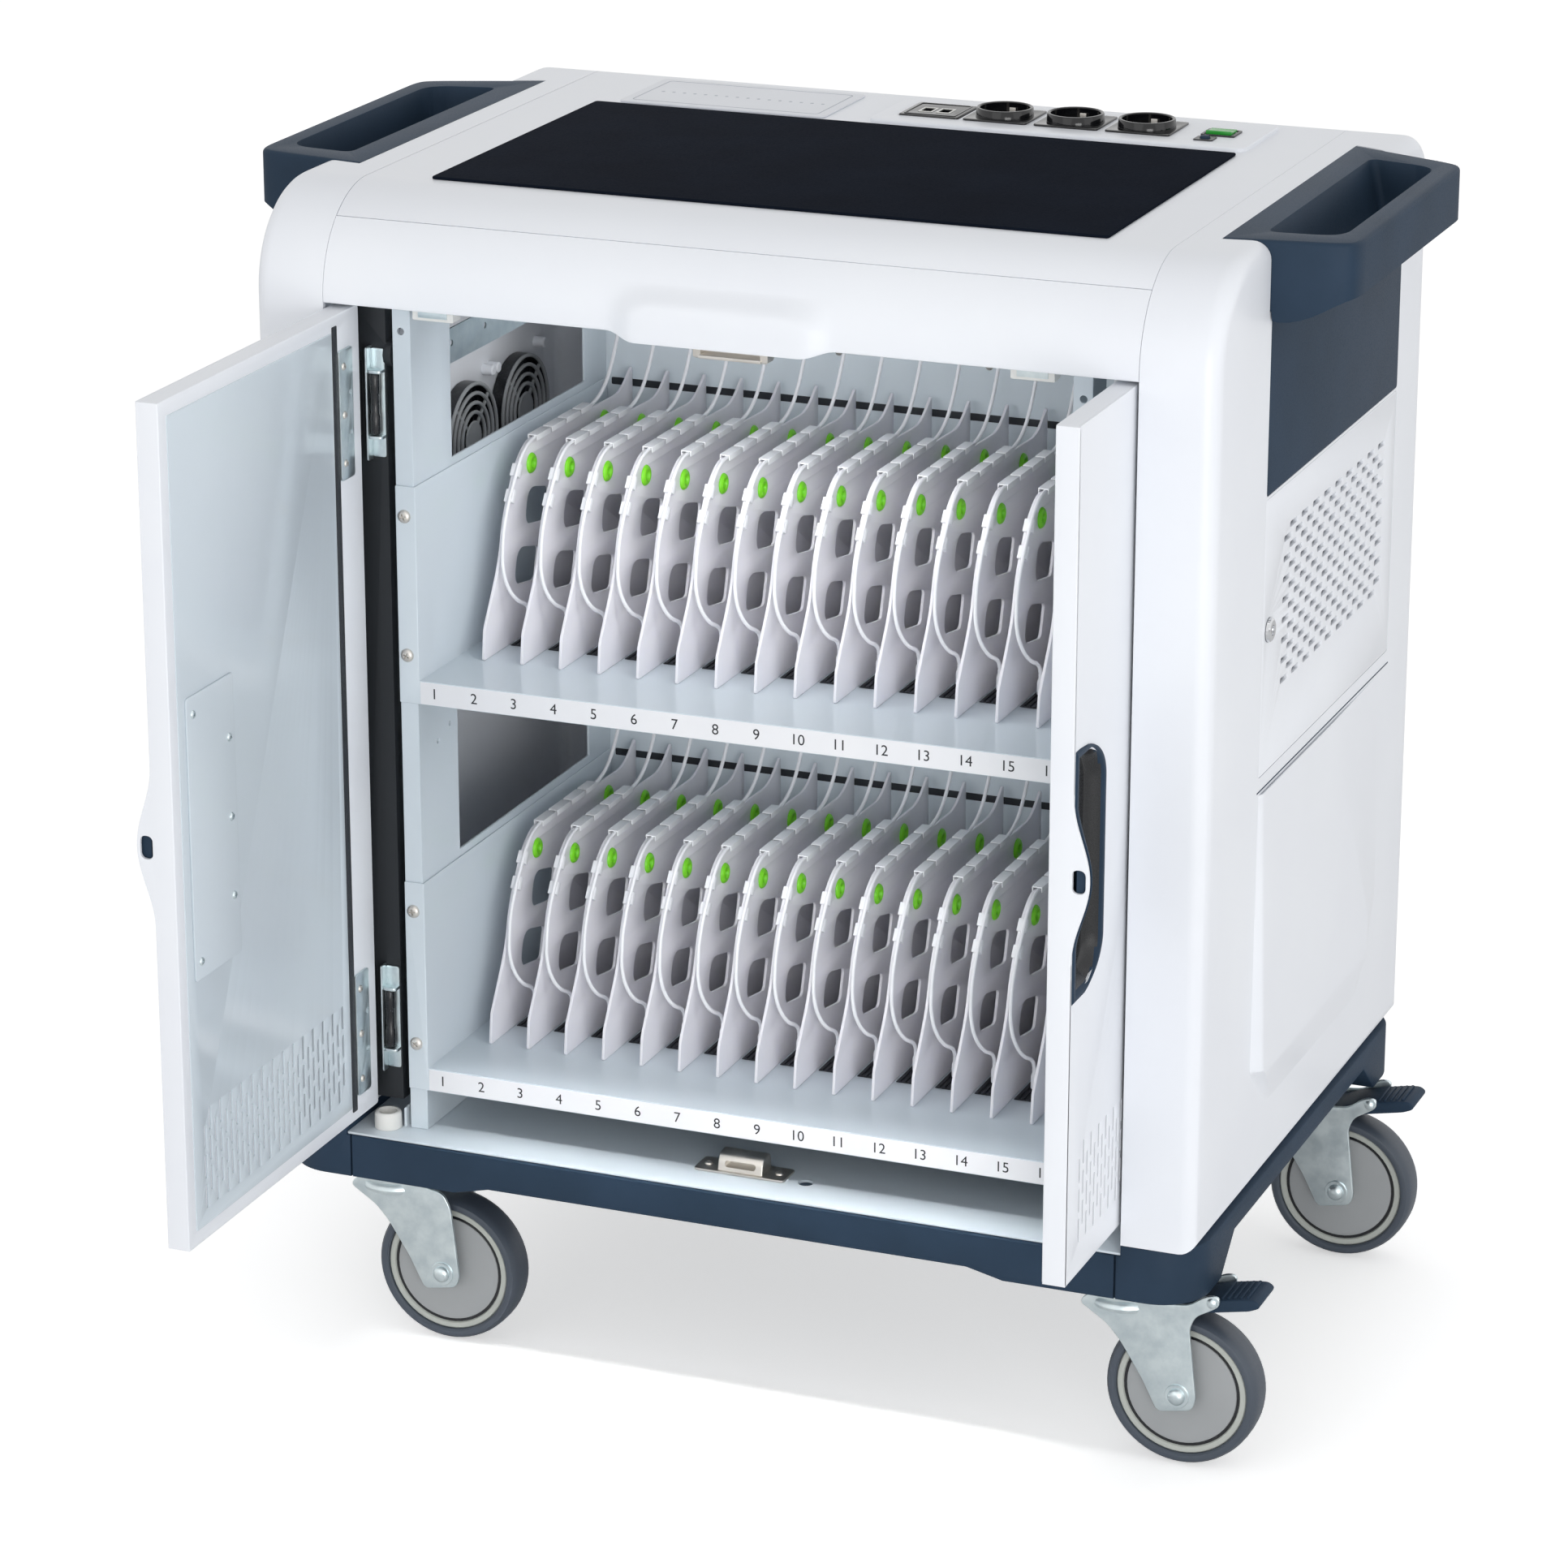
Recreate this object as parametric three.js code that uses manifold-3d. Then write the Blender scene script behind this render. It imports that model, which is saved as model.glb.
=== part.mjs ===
// Tablet charging cart with pocket doors, two divided shelves and a work top with sockets.
// Millimetres, +Z up, X to the right and Y to the back as seen from the doors.
import * as THREE from 'three';
import { mergeVertices } from 'three/addons/utils/BufferGeometryUtils.js';
import Module from 'manifold-3d';

const wasm = await Module();
wasm.setup();

// Clearances
const gap = 0.3;
const runningGap = 0.5;

// Cabinet
const bodyWidth = 772;
const bodyDepth = 557;
const baseBottom = 152;
const bodyTop = 953;
const openingWidth = 652;
const fasciaHeight = 83;
const panTop = 190;
const cheekBottom = 197;
const shellWall = 4;
const frontCurve = 80;
const rearCurve = 40;
const edgeRound = 14;
const fasciaSeamAngle = 48;
const skirtWall = 12;
const skirtCorner = 40;
const sideArchHeight = 28;
const frontArchHeight = 7;
const cornerBlockLength = 100;
const cornerBlockWidth = 150;
const archSlope = 34;
const sheet = 2;
const openingTop = bodyTop - fasciaHeight;

// Inner frames and shelves
const frameOuter = 282;
const frameFront = 28.3;
const frameRear = 398;
const wallInset = 13;
const postDepth = 70;
const rearPostDepth = 44;
const rearPostWidth = 6;
const upperFloor = 568;
const lowerFloor = 244;
const stripHeight = 19;
const guardHeight = 156;
const trayFront = 26.5;
const traySheet = 1.5;
const outletHeight = 245;
const outletSlot = 12;

// Dividers and leads
const dividerCount = 16;
const dividerPitch = 33;
const firstDivider = -241;
const dividerThickness = 2.4;
const dividerFront = 93;
const dividerRear = 390;
const dividerHeight = 158;
const railFront = 240;
const railDepth = 60;
const leadRadius = 1.6;
const leadSides = 4;
const leadSteps = 11;

// Doors
const doorThickness = 18;
const doorEdgeGap = 2.5;
const doorBottom = 212;
const doorTopGap = 3;
const doorCentreGap = 3;
const doorRim = 8;
const doorRecess = 3;
const hingePinRadius = 2.5;
const hingeHeights = [292, 790];
const knuckleHeight = 60;
const knuckleRadius = 6;
const rightDoorIn = 182;
const lipBottom = 433;
const lipTop = 627;
const lipBulge = 20;
const lipThickness = 3;
const lockHole = 9;
const cupDepth = 40;
const cupHeight = 14;
const lockCoverWidth = 73;
const lockCoverBottom = 420;
const lockCoverTop = 640;
const railHeight = 26;
const railDepthX = 6;
const railDrop = 44;
const doorTop = openingTop - doorTopGap;
const upperRailZ = openingTop - railDrop;

// Work top
const matWidth = 546;
const matFront = 84;
const matDepth = 313;
const matThickness = 2;
const islandLeft = -40;
const islandRight = 276;
const islandFront = 408;
const islandRear = 506;
const islandHeight = 3;
const socketPitch = 60;
const socketFirst = 60;
const socketY = 456;
const socketSquare = 54;
const wellRadius = 20;
const wellRim = 3;
const wellDepth = 17;
const usbX = 3;
const switchX = 242;
const displayLeft = -258;
const displayRight = -78;
const displayCorner = 8;
const displayThickness = 1.2;
const islandCorner = 14;
const flangeHeight = 1.5;
const rimHeight = 5;
const socketDepth = 30;

// Push handles and right side
const handleInner = 350;
const handleOuter = 448;
const handleDrop = 3;
const handleHeight = 50;
const handleFront = 116;
const handleRear = 468;
const handleLead = 24;
const handleTaper = 36;
const handleChamfer = 10;
const handleRound = 4;
const gripWall = 18;
const gripEnd = 34;
const plateOverlap = 1;
const handleTop = bodyTop - handleDrop;
const sidePlateBottom = 758;
const sidePlateFront = 128;
const sidePlateRear = 480;
const ventBottom = 538;
const ventRows = 8;
const ventColumns = 5;
const ventLockZ = 651;
const ventLockRadius = 8;

// Casters
const casterX = 312;
const casterInset = 62;
const casterTrail = 50;
const wheelRadius = 62.5;
const tyreWidth = 32;
const hubRadius = 52.5;
const axleRadius = 6;
const wheelSides = 20;
const forkInner = 21;
const forkSheet = 3;
const casterPlate = 4;
const casterPlateHalf = [50, 42];
const raceHeight = 12;
const raceRadius = 32;
const crownHeight = 7;
const axleHeight = wheelRadius * Math.cos(Math.PI / wheelSides);

const openingHalf = openingWidth / 2;
const bodyHalf = bodyWidth / 2;
const doorOuter = openingHalf - doorEdgeGap;
const doorInner = doorOuter - doorThickness;
const hingeX = (doorOuter + doorInner) / 2;
const hingeY = doorThickness / 2;
const doorFree = hingeY - hingeX + doorCentreGap / 2;
const originY = (doorFree + bodyDepth) / 2;

// Materials
const paint = (color, roughness, metalness = 0) =>
  new THREE.MeshStandardMaterial({ color, roughness, metalness });
const whiteShell = paint(0xf1f3f6, 0.35);
const greySheet = paint(0xc9d3dc, 0.45, 0.1);
const darkPlastic = paint(0x3b434d, 0.5);
const blackMat = paint(0x191b22, 0.9);
const blackPlastic = paint(0x17181b, 0.35);
const palePanel = paint(0xe3e6ea, 0.4);
const dividerPlastic = paint(0xe6e7f2, 0.4);
const leadPlastic = paint(0xf4f5f8, 0.4);
const greenPlastic = paint(0x4fae2c, 0.35);
const zinc = paint(0xb7c3c9, 0.35, 0.9);
const tyreRubber = paint(0x454a52, 0.7);
const hubPlastic = paint(0x9b9f9e, 0.5);

// Solids from three.js geometry
function toSolid(geometry) {
  const bare = geometry.index ? geometry.toNonIndexed() : geometry;
  bare.deleteAttribute('normal');
  bare.deleteAttribute('uv');
  const merged = mergeVertices(bare, 1e-4);
  const mesh = new wasm.Mesh({
    numProp: 3,
    vertProperties: new Float32Array(merged.attributes.position.array),
    triVerts: new Uint32Array(merged.index.array),
  });
  mesh.merge();
  return new wasm.Manifold(mesh);
}

function toMesh(name, solid, material) {
  const { vertProperties, triVerts } = solid.getMesh();
  const geometry = new THREE.BufferGeometry();
  geometry.setAttribute('position', new THREE.BufferAttribute(new Float32Array(vertProperties), 3));
  geometry.setIndex(new THREE.BufferAttribute(new Uint32Array(triVerts), 1));
  const mesh = new THREE.Mesh(geometry, material);
  mesh.name = name;
  return mesh;
}

const join = (solids) => solids.reduce((sum, solid) => sum.add(solid));
const cut = (solid, tools) => tools.reduce((rest, tool) => rest.subtract(tool), solid);

function block(x0, x1, y0, y1, z0, z1) {
  const geometry = new THREE.BoxGeometry(x1 - x0, y1 - y0, z1 - z0);
  geometry.translate((x0 + x1) / 2, (y0 + y1) / 2, (z0 + z1) / 2);
  return toSolid(geometry);
}

const acrossX = new THREE.Matrix4().makeBasis(
  new THREE.Vector3(0, 1, 0), new THREE.Vector3(0, 0, 1), new THREE.Vector3(1, 0, 0));
const acrossY = new THREE.Matrix4().makeBasis(
  new THREE.Vector3(0, 0, 1), new THREE.Vector3(1, 0, 0), new THREE.Vector3(0, 1, 0));
const acrossZ = new THREE.Matrix4();

// An outline of [a, b] points, or a Shape, extruded from low to high along the axis that the basis gives:
// acrossX takes (y, z), acrossY takes (z, x) and acrossZ takes (x, y).
function prism(outline, basis, low, high, bevel = 0) {
  const shape = Array.isArray(outline)
    ? new THREE.Shape(outline.map(([a, b]) => new THREE.Vector2(a, b)))
    : outline;
  const geometry = new THREE.ExtrudeGeometry(shape, {
    depth: high - low - 2 * bevel,
    bevelEnabled: bevel > 0,
    bevelThickness: bevel,
    bevelSize: bevel,
    bevelOffset: -bevel,
    bevelSegments: 2,
    curveSegments: 6,
  });
  geometry.translate(0, 0, low + bevel);
  return toSolid(geometry.applyMatrix4(basis));
}

function rod(basis, a, b, radius, low, high, sides = 12) {
  const shape = new THREE.Shape();
  for (let side = 0; side < sides; side += 1) {
    const angle = (2 * Math.PI * side) / sides;
    const step = side ? 'lineTo' : 'moveTo';
    shape[step](a + radius * Math.cos(angle), b + radius * Math.sin(angle));
  }
  return prism(shape, basis, low, high);
}

function roundedRect(x0, x1, y0, y1, radius) {
  const shape = new THREE.Shape();
  shape.moveTo(x0 + radius, y0);
  shape.lineTo(x1 - radius, y0);
  shape.absarc(x1 - radius, y0 + radius, radius, -Math.PI / 2, 0);
  shape.lineTo(x1, y1 - radius);
  shape.absarc(x1 - radius, y1 - radius, radius, 0, Math.PI / 2);
  shape.lineTo(x0 + radius, y1);
  shape.absarc(x0 + radius, y1 - radius, radius, Math.PI / 2, Math.PI);
  shape.lineTo(x0, y0 + radius);
  shape.absarc(x0 + radius, y0 + radius, radius, Math.PI, 1.5 * Math.PI);
  return shape;
}

// The range of X from a to b, counted outwards, on the right (side 1) or on the left (side -1).
const spanX = (side, a, b) => (side > 0 ? [a, b] : [-b, -a]);
const sideBlock = (side, a, b, ...rest) => block(...spanX(side, a, b), ...rest);

const cart = new THREE.Group();
cart.position.y = -originY;
const add = (name, solid, material) => cart.add(toMesh(name, solid, material));

// Base skirt: a moulded tray with deep corners over the casters and arched edges between them
const cornerEnd = bodyDepth - cornerBlockLength;
const archTop = baseBottom + sideArchHeight;
const sideArch = prism([
  [cornerBlockLength - archSlope, baseBottom - 1], [cornerBlockLength, archTop],
  [cornerEnd, archTop], [cornerEnd + archSlope, baseBottom - 1],
], acrossX, -bodyHalf - 1, bodyHalf + 1);
const innerHalf = bodyHalf - cornerBlockWidth;
const frontArch = prism([
  [baseBottom - 1, -innerHalf], [baseBottom + frontArchHeight, -innerHalf + archSlope],
  [baseBottom + frontArchHeight, innerHalf - archSlope], [baseBottom - 1, innerHalf],
], acrossY, -1, skirtWall + 1);
const panSeat = panTop - sheet - gap;
add('base_skirt', cut(
  prism(roundedRect(-bodyHalf, bodyHalf, 0, bodyDepth, skirtCorner), acrossZ, baseBottom, cheekBottom),
  [
    sideArch,
    frontArch,
    block(-innerHalf, innerHalf, skirtWall, bodyDepth - skirtWall, baseBottom - 1, archTop),
    block(-openingHalf, openingHalf, -1, bodyDepth - skirtWall, panSeat, cheekBottom + 1),
  ],
), darkPlastic);

// Floor pan with the folded lower guides that the hinge carriages run along
const guideHeight = 16;
const guideX = frameOuter + 4;
const pan = [block(-openingHalf + gap, openingHalf - gap,
  sheet, bodyDepth - skirtWall - gap, panTop - sheet, panTop)];
for (const side of [-1, 1]) {
  pan.push(sideBlock(side, guideX, guideX + sheet, frameFront, frameRear,
    panTop - sheet / 4, panTop + guideHeight));
}
add('floor_pan', join(pan), greySheet);

// Side panels: moulded shells with a large front curve, open to the inside
function sideProfile(inset) {
  const shape = new THREE.Shape();
  const low = cheekBottom + gap + inset;
  const high = bodyTop - inset;
  shape.moveTo(inset, low);
  shape.lineTo(bodyDepth - inset, low);
  shape.lineTo(bodyDepth - inset, bodyTop - rearCurve);
  shape.absarc(bodyDepth - rearCurve, bodyTop - rearCurve, rearCurve - inset, 0, Math.PI / 2);
  shape.lineTo(frontCurve, high);
  shape.absarc(frontCurve, bodyTop - frontCurve, frontCurve - inset, Math.PI / 2, Math.PI);
  return shape;
}

// The push handle's outline from above, grown by a clearance where the side panel makes room for it
function handlePlan(side, grow) {
  const frontCorner = handleFront + handleLead;
  const rearCorner = handleRear - handleTaper;
  return [
    [handleInner - grow, handleFront - grow],
    [handleOuter - handleChamfer, frontCorner - handleChamfer - grow],
    [handleOuter, frontCorner],
    [handleOuter, rearCorner - handleChamfer],
    [handleOuter - handleChamfer, rearCorner + grow],
    [handleInner - grow, handleRear + grow],
  ].map(([x, y]) => [side * x, y]);
}

const plateTop = handleTop - handleHeight;
function sidePanel(side) {
  const [low, high] = side > 0 ? [openingHalf - edgeRound, bodyHalf] : [-bodyHalf, edgeRound - openingHalf];
  const handleSeat = prism(handlePlan(side, gap), acrossZ, plateTop - gap, bodyTop + 1);
  const plateSeat = sideBlock(side, bodyHalf - sheet - gap, bodyHalf + 1,
    sidePlateFront - gap, sidePlateRear + gap, sidePlateBottom - gap, plateTop + plateOverlap + gap);
  const tools = [
    sideBlock(side, 0, openingHalf, -1, bodyDepth + 1, 0, bodyTop + 1),
    prism(sideProfile(shellWall), acrossX, ...spanX(side, openingHalf - edgeRound, bodyHalf - shellWall),
      edgeRound - shellWall),
    handleSeat,
    plateSeat,
  ];
  if (side > 0) {
    tools.push(block(bodyHalf - shellWall - 1, bodyHalf + 1,
      sidePlateFront - gap, sidePlateRear + gap, ventBottom - gap, sidePlateBottom - 3 + gap));
  }
  return cut(prism(sideProfile(0), acrossX, low, high, edgeRound), tools);
}
add('left_side_panel', sidePanel(-1), whiteShell);
add('right_side_panel', sidePanel(1), whiteShell);

add('back_panel', block(-openingHalf + gap, openingHalf - gap, bodyDepth - shellWall, bodyDepth,
  cheekBottom + gap, bodyTop - rearCurve - gap), whiteShell);

// Top cover and front fascia: one curved section, parted along the seam
function topSection(from, to, extraPoints) {
  const arc = (radius, angle) => [
    frontCurve - radius * Math.cos(angle), bodyTop - frontCurve + radius * Math.sin(angle)];
  const steps = 8;
  const outer = [];
  const inner = [];
  for (let step = 0; step <= steps; step += 1) {
    const angle = from + ((to - from) * step) / steps;
    outer.push(arc(frontCurve, angle));
    inner.push(arc(frontCurve - shellWall, angle));
  }
  return [...outer, ...extraPoints, ...inner.reverse()];
}
const seam = THREE.MathUtils.degToRad(fasciaSeamAngle);
const seamGap = gap / frontCurve;
const rearCentre = [bodyDepth - rearCurve, bodyTop - rearCurve];
const rearTop = [];
for (let step = 0; step <= 4; step += 1) {
  const angle = Math.PI / 2 - (Math.PI / 2) * (step / 4);
  rearTop.push([rearCentre[0] + rearCurve * Math.cos(angle), rearCentre[1] + rearCurve * Math.sin(angle)]);
}
const rearShare = (rearCurve - shellWall) / rearCurve;
const rearUnder = rearTop.map(([y, z]) => [
  rearCentre[0] + (y - rearCentre[0]) * rearShare,
  rearCentre[1] + (z - rearCentre[1]) * rearShare,
]).reverse();
const socketPlaces = [0, 1, 2].map((index) => socketFirst + socketPitch * index);
const blockLeft = socketFirst - socketSquare / 2;
const blockRight = socketPlaces[2] + socketSquare / 2;
const squareHalf = socketSquare / 2;
const usbHalf = 25;
const switchHalf = [11, 8];
const resetX = switchX - 6;
const resetY = socketY - 24;
const resetRadius = 4;
const topCutouts = (low, high) => [
  block(blockLeft - gap, blockRight + gap, socketY - squareHalf - gap, socketY + squareHalf + gap, low, high),
  block(usbX - usbHalf - gap, usbX + usbHalf + gap,
    socketY - usbHalf - gap, socketY + usbHalf + gap, low, high),
  block(switchX - switchHalf[0] - runningGap, switchX + switchHalf[0] + runningGap,
    socketY - switchHalf[1] - runningGap, socketY + switchHalf[1] + runningGap, low, high),
  rod(acrossZ, resetX, resetY, resetRadius + runningGap, low, high, 12),
];
const coverHalf = openingHalf - gap;
const topSkin = prism(topSection(seam + seamGap, Math.PI / 2, [...rearTop, ...rearUnder]),
  acrossX, -coverHalf, coverHalf);
add('top_cover', cut(topSkin, topCutouts(bodyTop - 2 * shellWall, bodyTop + 1)), whiteShell);

const bulgeHalf = 98;
const bulgeSlope = 18;
const bulgeCorner = 8;
const bulgeDepth = 6;
const bulgeHeight = 34;
const bulgeDrop = 2;
const headerDepth = 34;
const fasciaSkin = prism(topSection(0, seam, []), acrossX, -coverHalf, coverHalf);
const fasciaFront = block(-coverHalf, coverHalf, 0, shellWall, openingTop, bodyTop - frontCurve + 0.1);
const bulgeSide = (side) => [
  [openingTop - bulgeDrop, side * (bulgeHalf - bulgeSlope)],
  [openingTop + bulgeHeight - bulgeCorner, side * bulgeHalf],
  [openingTop + bulgeHeight, side * (bulgeHalf - bulgeSlope)],
];
const bulge = prism([...bulgeSide(-1), ...bulgeSide(1).reverse()], acrossY, -bulgeDepth, shellWall, 3);
const header = block(-coverHalf, coverHalf, 0, headerDepth, openingTop, openingTop + sheet);
add('front_fascia', join([fasciaSkin, fasciaFront, header, bulge]), whiteShell);

// Inner frames: punched side walls with folded posts, carrying shelves and door rails
const wallOuter = frameOuter - wallInset;
const wallInner = wallOuter - sheet;
const frameBottom = panTop + gap;
const frameTop = openingTop - 3;
function innerFrame(side) {
  const wall = sideBlock(side, wallInner, wallOuter, frameFront, frameRear - gap, frameBottom, frameTop);
  const windowFront = frameFront + postDepth;
  const windowRear = frameRear - rearPostDepth;
  const windows = [
    [frameBottom + 30, lowerFloor - 24],
    [lowerFloor + guardHeight + 6, upperFloor - 24],
    [upperFloor + guardHeight + 6, upperRailZ - railHeight / 2 - 4],
  ].filter(([low, high]) => high > low).map(([low, high]) =>
    sideBlock(side, wallInner - 1, wallOuter + 1, windowFront, windowRear, low, high));
  const flange = (y) => sideBlock(side, wallInner, frameOuter, y, y + sheet, frameBottom, frameTop);
  return join([cut(wall, windows), flange(frameFront), flange(frameRear - gap - sheet)]);
}
add('left_inner_frame', innerFrame(-1), greySheet);
add('right_inner_frame', innerFrame(1), greySheet);

// Rear cable wall with a long outlet slot above each shelf's dividers
const slotHalf = wallInner - rearPostWidth;
const cableSlots = [lowerFloor, upperFloor].map((floor) => block(-slotHalf, slotHalf,
  frameRear - 1, frameRear + sheet + 1,
  floor + outletHeight - outletSlot / 2, floor + outletHeight + outletSlot / 2));
const cableWall = block(-frameOuter, frameOuter, frameRear, frameRear + sheet, frameBottom, frameTop);
add('rear_cable_wall', cut(cableWall, cableSlots), greySheet);

// Shelves: folded trays with a number strip in front and a guard at each end
const trayHalf = wallInner - gap;
function shelf(floor) {
  const pieces = [
    block(-trayHalf, trayHalf, trayFront, frameRear - sheet - 2 * gap, floor - traySheet, floor),
    block(-trayHalf, trayHalf, trayFront, trayFront + traySheet, floor - stripHeight, floor),
  ];
  for (const side of [-1, 1]) {
    pieces.push(sideBlock(side, trayHalf - traySheet, trayHalf,
      trayFront, frameRear - sheet - 2 * gap, floor - traySheet, floor + guardHeight));
    pieces.push(sideBlock(side, trayHalf - traySheet, frameOuter,
      trayFront, trayFront + traySheet, floor - stripHeight, floor + guardHeight));
  }
  return join(pieces);
}
add('upper_shelf', shelf(upperFloor), greySheet);
add('lower_shelf', shelf(lowerFloor), greySheet);

// Dividers: a comb of thin blades with leaning front edges, joined along a rail on the tray
const shoulderY = dividerFront + 89;
const dividerOutline = [
  [dividerFront, 0], [dividerRear, 0], [dividerRear, dividerHeight + 12],
  [dividerRear - 24, dividerHeight - 6],
  [shoulderY + 24, dividerHeight - 1], [shoulderY, dividerHeight], [shoulderY - 15, dividerHeight - 8],
  [shoulderY - 27, dividerHeight - 20], [shoulderY - 48, dividerHeight - 53],
  [shoulderY - 56, dividerHeight - 86], [dividerFront + 3, 25],
];
const windowLow = [[58, 46], [98, 40], [106, 66], [66, 76]].map(([y, z]) => [dividerFront + y, z]);
const windowHigh = windowLow.map(([y, z]) => [y + 22, z + 44]);
const dividerPlaces = Array.from({ length: dividerCount }, (_, index) => firstDivider + dividerPitch * index);
function dividerRack(floor) {
  const base = floor + gap;
  const shape = new THREE.Shape(dividerOutline.map(([y, z]) => new THREE.Vector2(y, base + z)));
  for (const window of [windowLow, windowHigh]) {
    shape.holes.push(new THREE.Path(window.map(([y, z]) => new THREE.Vector2(y, base + z))));
  }
  const blades = dividerPlaces.map((x) =>
    prism(shape, acrossX, x - dividerThickness / 2, x + dividerThickness / 2));
  const rackRight = dividerPlaces[dividerCount - 1] + dividerThickness;
  const rail = block(-rackRight, rackRight, railFront, railFront + railDepth, base, base + 3);
  return join([rail, ...blades]);
}
add('upper_divider_rack', dividerRack(upperFloor), dividerPlastic);
add('lower_divider_rack', dividerRack(lowerFloor), dividerPlastic);

// Charging leads: out of the outlet strip, along each divider's top and front edge, with a hanging tail.
// Each point is [right of the lead's line beside its divider, back, height above the tray].
// The last lead has less room before the guard, so its tail swings out less.
const leadSide = 3.4;
const lastSwing = 0.28;
const leadRoute = [
  [0, 401, 245], [0, 390, 243], [0, 376, 234], [0, 363, 217], [0, 352, 198], [0, 340, 180],
  [0, 325, 166], [0, 306, 159], [0, 280, 157.5], [0, 214, 158], [0, 184, 158], [0, 166, 151],
  [0, 152, 136], [0, 131, 104], [0.4, 125, 84],
  [2.4, 121, 68], [6.2, 122, 53], [11, 128, 42], [15, 136, 36], [16, 139, 28],
];
const plugLength = 22;
const plugRadius = 3;
const stripDepth = 6;
function leadSet(floor) {
  const stripFront = frameRear + sheet + gap;
  const strip = block(-slotHalf + sheet, slotHalf - sheet, stripFront, stripFront + stripDepth,
    floor + outletHeight - outletSlot, floor + outletHeight + outletSlot);
  const section = new THREE.Shape();
  for (let side = 0; side < leadSides; side += 1) {
    const angle = (2 * Math.PI * side) / leadSides;
    section[side ? 'lineTo' : 'moveTo'](leadRadius * Math.cos(angle), leadRadius * Math.sin(angle));
  }
  const leads = dividerPlaces.map((x, index) => {
    const swing = index === dividerCount - 1 ? lastSwing : 1;
    const points = leadRoute.map(([right, y, z]) =>
      new THREE.Vector3(x + leadSide + right * swing, y, floor + z));
    const tube = toSolid(new THREE.ExtrudeGeometry(section, {
      steps: leadSteps, extrudePath: new THREE.CatmullRomCurve3(points), bevelEnabled: false,
    }));
    const end = points[points.length - 1];
    const plug = rod(acrossZ, end.x, end.y, plugRadius, end.z - plugLength, end.z + 1, 6);
    return tube.add(plug);
  });
  return join([strip, ...leads]);
}
add('upper_charging_leads', leadSet(upperFloor), leadPlastic);
add('lower_charging_leads', leadSet(lowerFloor), leadPlastic);

// Work top
const onTop = bodyTop + gap;
const matHalf = matWidth / 2;
add('writing_mat', block(-matHalf, matHalf, matFront, matFront + matDepth,
  onTop, onTop + matThickness), blackMat);
add('display_panel', prism(roundedRect(displayLeft, displayRight, islandFront, islandRear, displayCorner),
  acrossZ, onTop, onTop + displayThickness), palePanel);
const islandTop = onTop + islandHeight;
add('socket_island', cut(
  prism(roundedRect(islandLeft, islandRight, islandFront, islandRear, islandCorner),
    acrossZ, onTop, islandTop),
  topCutouts(bodyTop - 1, islandTop + 1),
), whiteShell);

const flangeTop = islandTop + flangeHeight;
const rimTop = flangeTop + rimHeight;
const socketBottom = islandTop - socketDepth;
function socketBlock() {
  const body = block(blockLeft, blockRight, socketY - squareHalf, socketY + squareHalf,
    socketBottom, flangeTop);
  const round = (radius, low, high) =>
    socketPlaces.map((x) => rod(acrossZ, x, socketY, radius, low, high, 20));
  const rims = round(wellRadius + wellRim, flangeTop - 1, rimTop);
  const wells = round(wellRadius, rimTop - wellDepth, rimTop + 1);
  return cut(join([body, ...rims]), wells);
}
add('socket_block', socketBlock(), blackPlastic);
const usbPorts = [-1, 1].map((row) => block(usbX - 7, usbX + 7, socketY + row * 9 - 3, socketY + row * 9 + 3,
  islandTop - 10, flangeTop + 1));
const usbBody = block(usbX - usbHalf, usbX + usbHalf, socketY - usbHalf, socketY + usbHalf,
  socketBottom, flangeTop);
add('usb_insert', cut(usbBody, usbPorts), blackPlastic);
const rockerTop = islandTop + 4;
const rockerBottom = bodyTop - 2 * shellWall;
const rockerReach = switchHalf[1] - 2 * gap;
add('rocker_switch', prism([
  [socketY - rockerReach, rockerBottom], [socketY + rockerReach, rockerBottom],
  [socketY + rockerReach, rockerTop - 1], [socketY, rockerTop - 2.2], [socketY - rockerReach, rockerTop - 1],
], acrossX, switchX - switchHalf[0], switchX + switchHalf[0]), greenPlastic);
add('reset_button', rod(acrossZ, resetX, resetY, resetRadius, rockerBottom - 2, islandTop + 3), blackPlastic);

// Push handles: a moulded loop let into each side panel, with a plate below it on the side
const gripInner = bodyHalf + 4;
function handle(side) {
  const gripOuter = handleOuter - gripWall;
  const gripFront = handleFront + gripEnd;
  const gripRear = handleRear - handleTaper - handleChamfer;
  const grip = [
    [gripInner, gripFront],
    [gripOuter - handleChamfer, gripFront + handleRound],
    [gripOuter, gripFront + handleRound + handleChamfer],
    [gripOuter, gripRear - 2 * handleChamfer],
    [gripOuter - handleChamfer, gripRear - handleChamfer],
    [gripInner, gripRear],
  ].map(([x, y]) => [side * x, y]);
  const loop = cut(prism(handlePlan(side, 0), acrossZ, plateTop, handleTop, handleRound),
    [prism(grip, acrossZ, plateTop - 1, handleTop + 1)]);
  const plate = sideBlock(side, bodyHalf - sheet, bodyHalf, sidePlateFront, sidePlateRear, sidePlateBottom,
    plateTop + plateOverlap);
  return loop.add(plate);
}
add('left_handle', handle(-1), darkPlastic);
add('right_handle', handle(1), darkPlastic);

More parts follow.
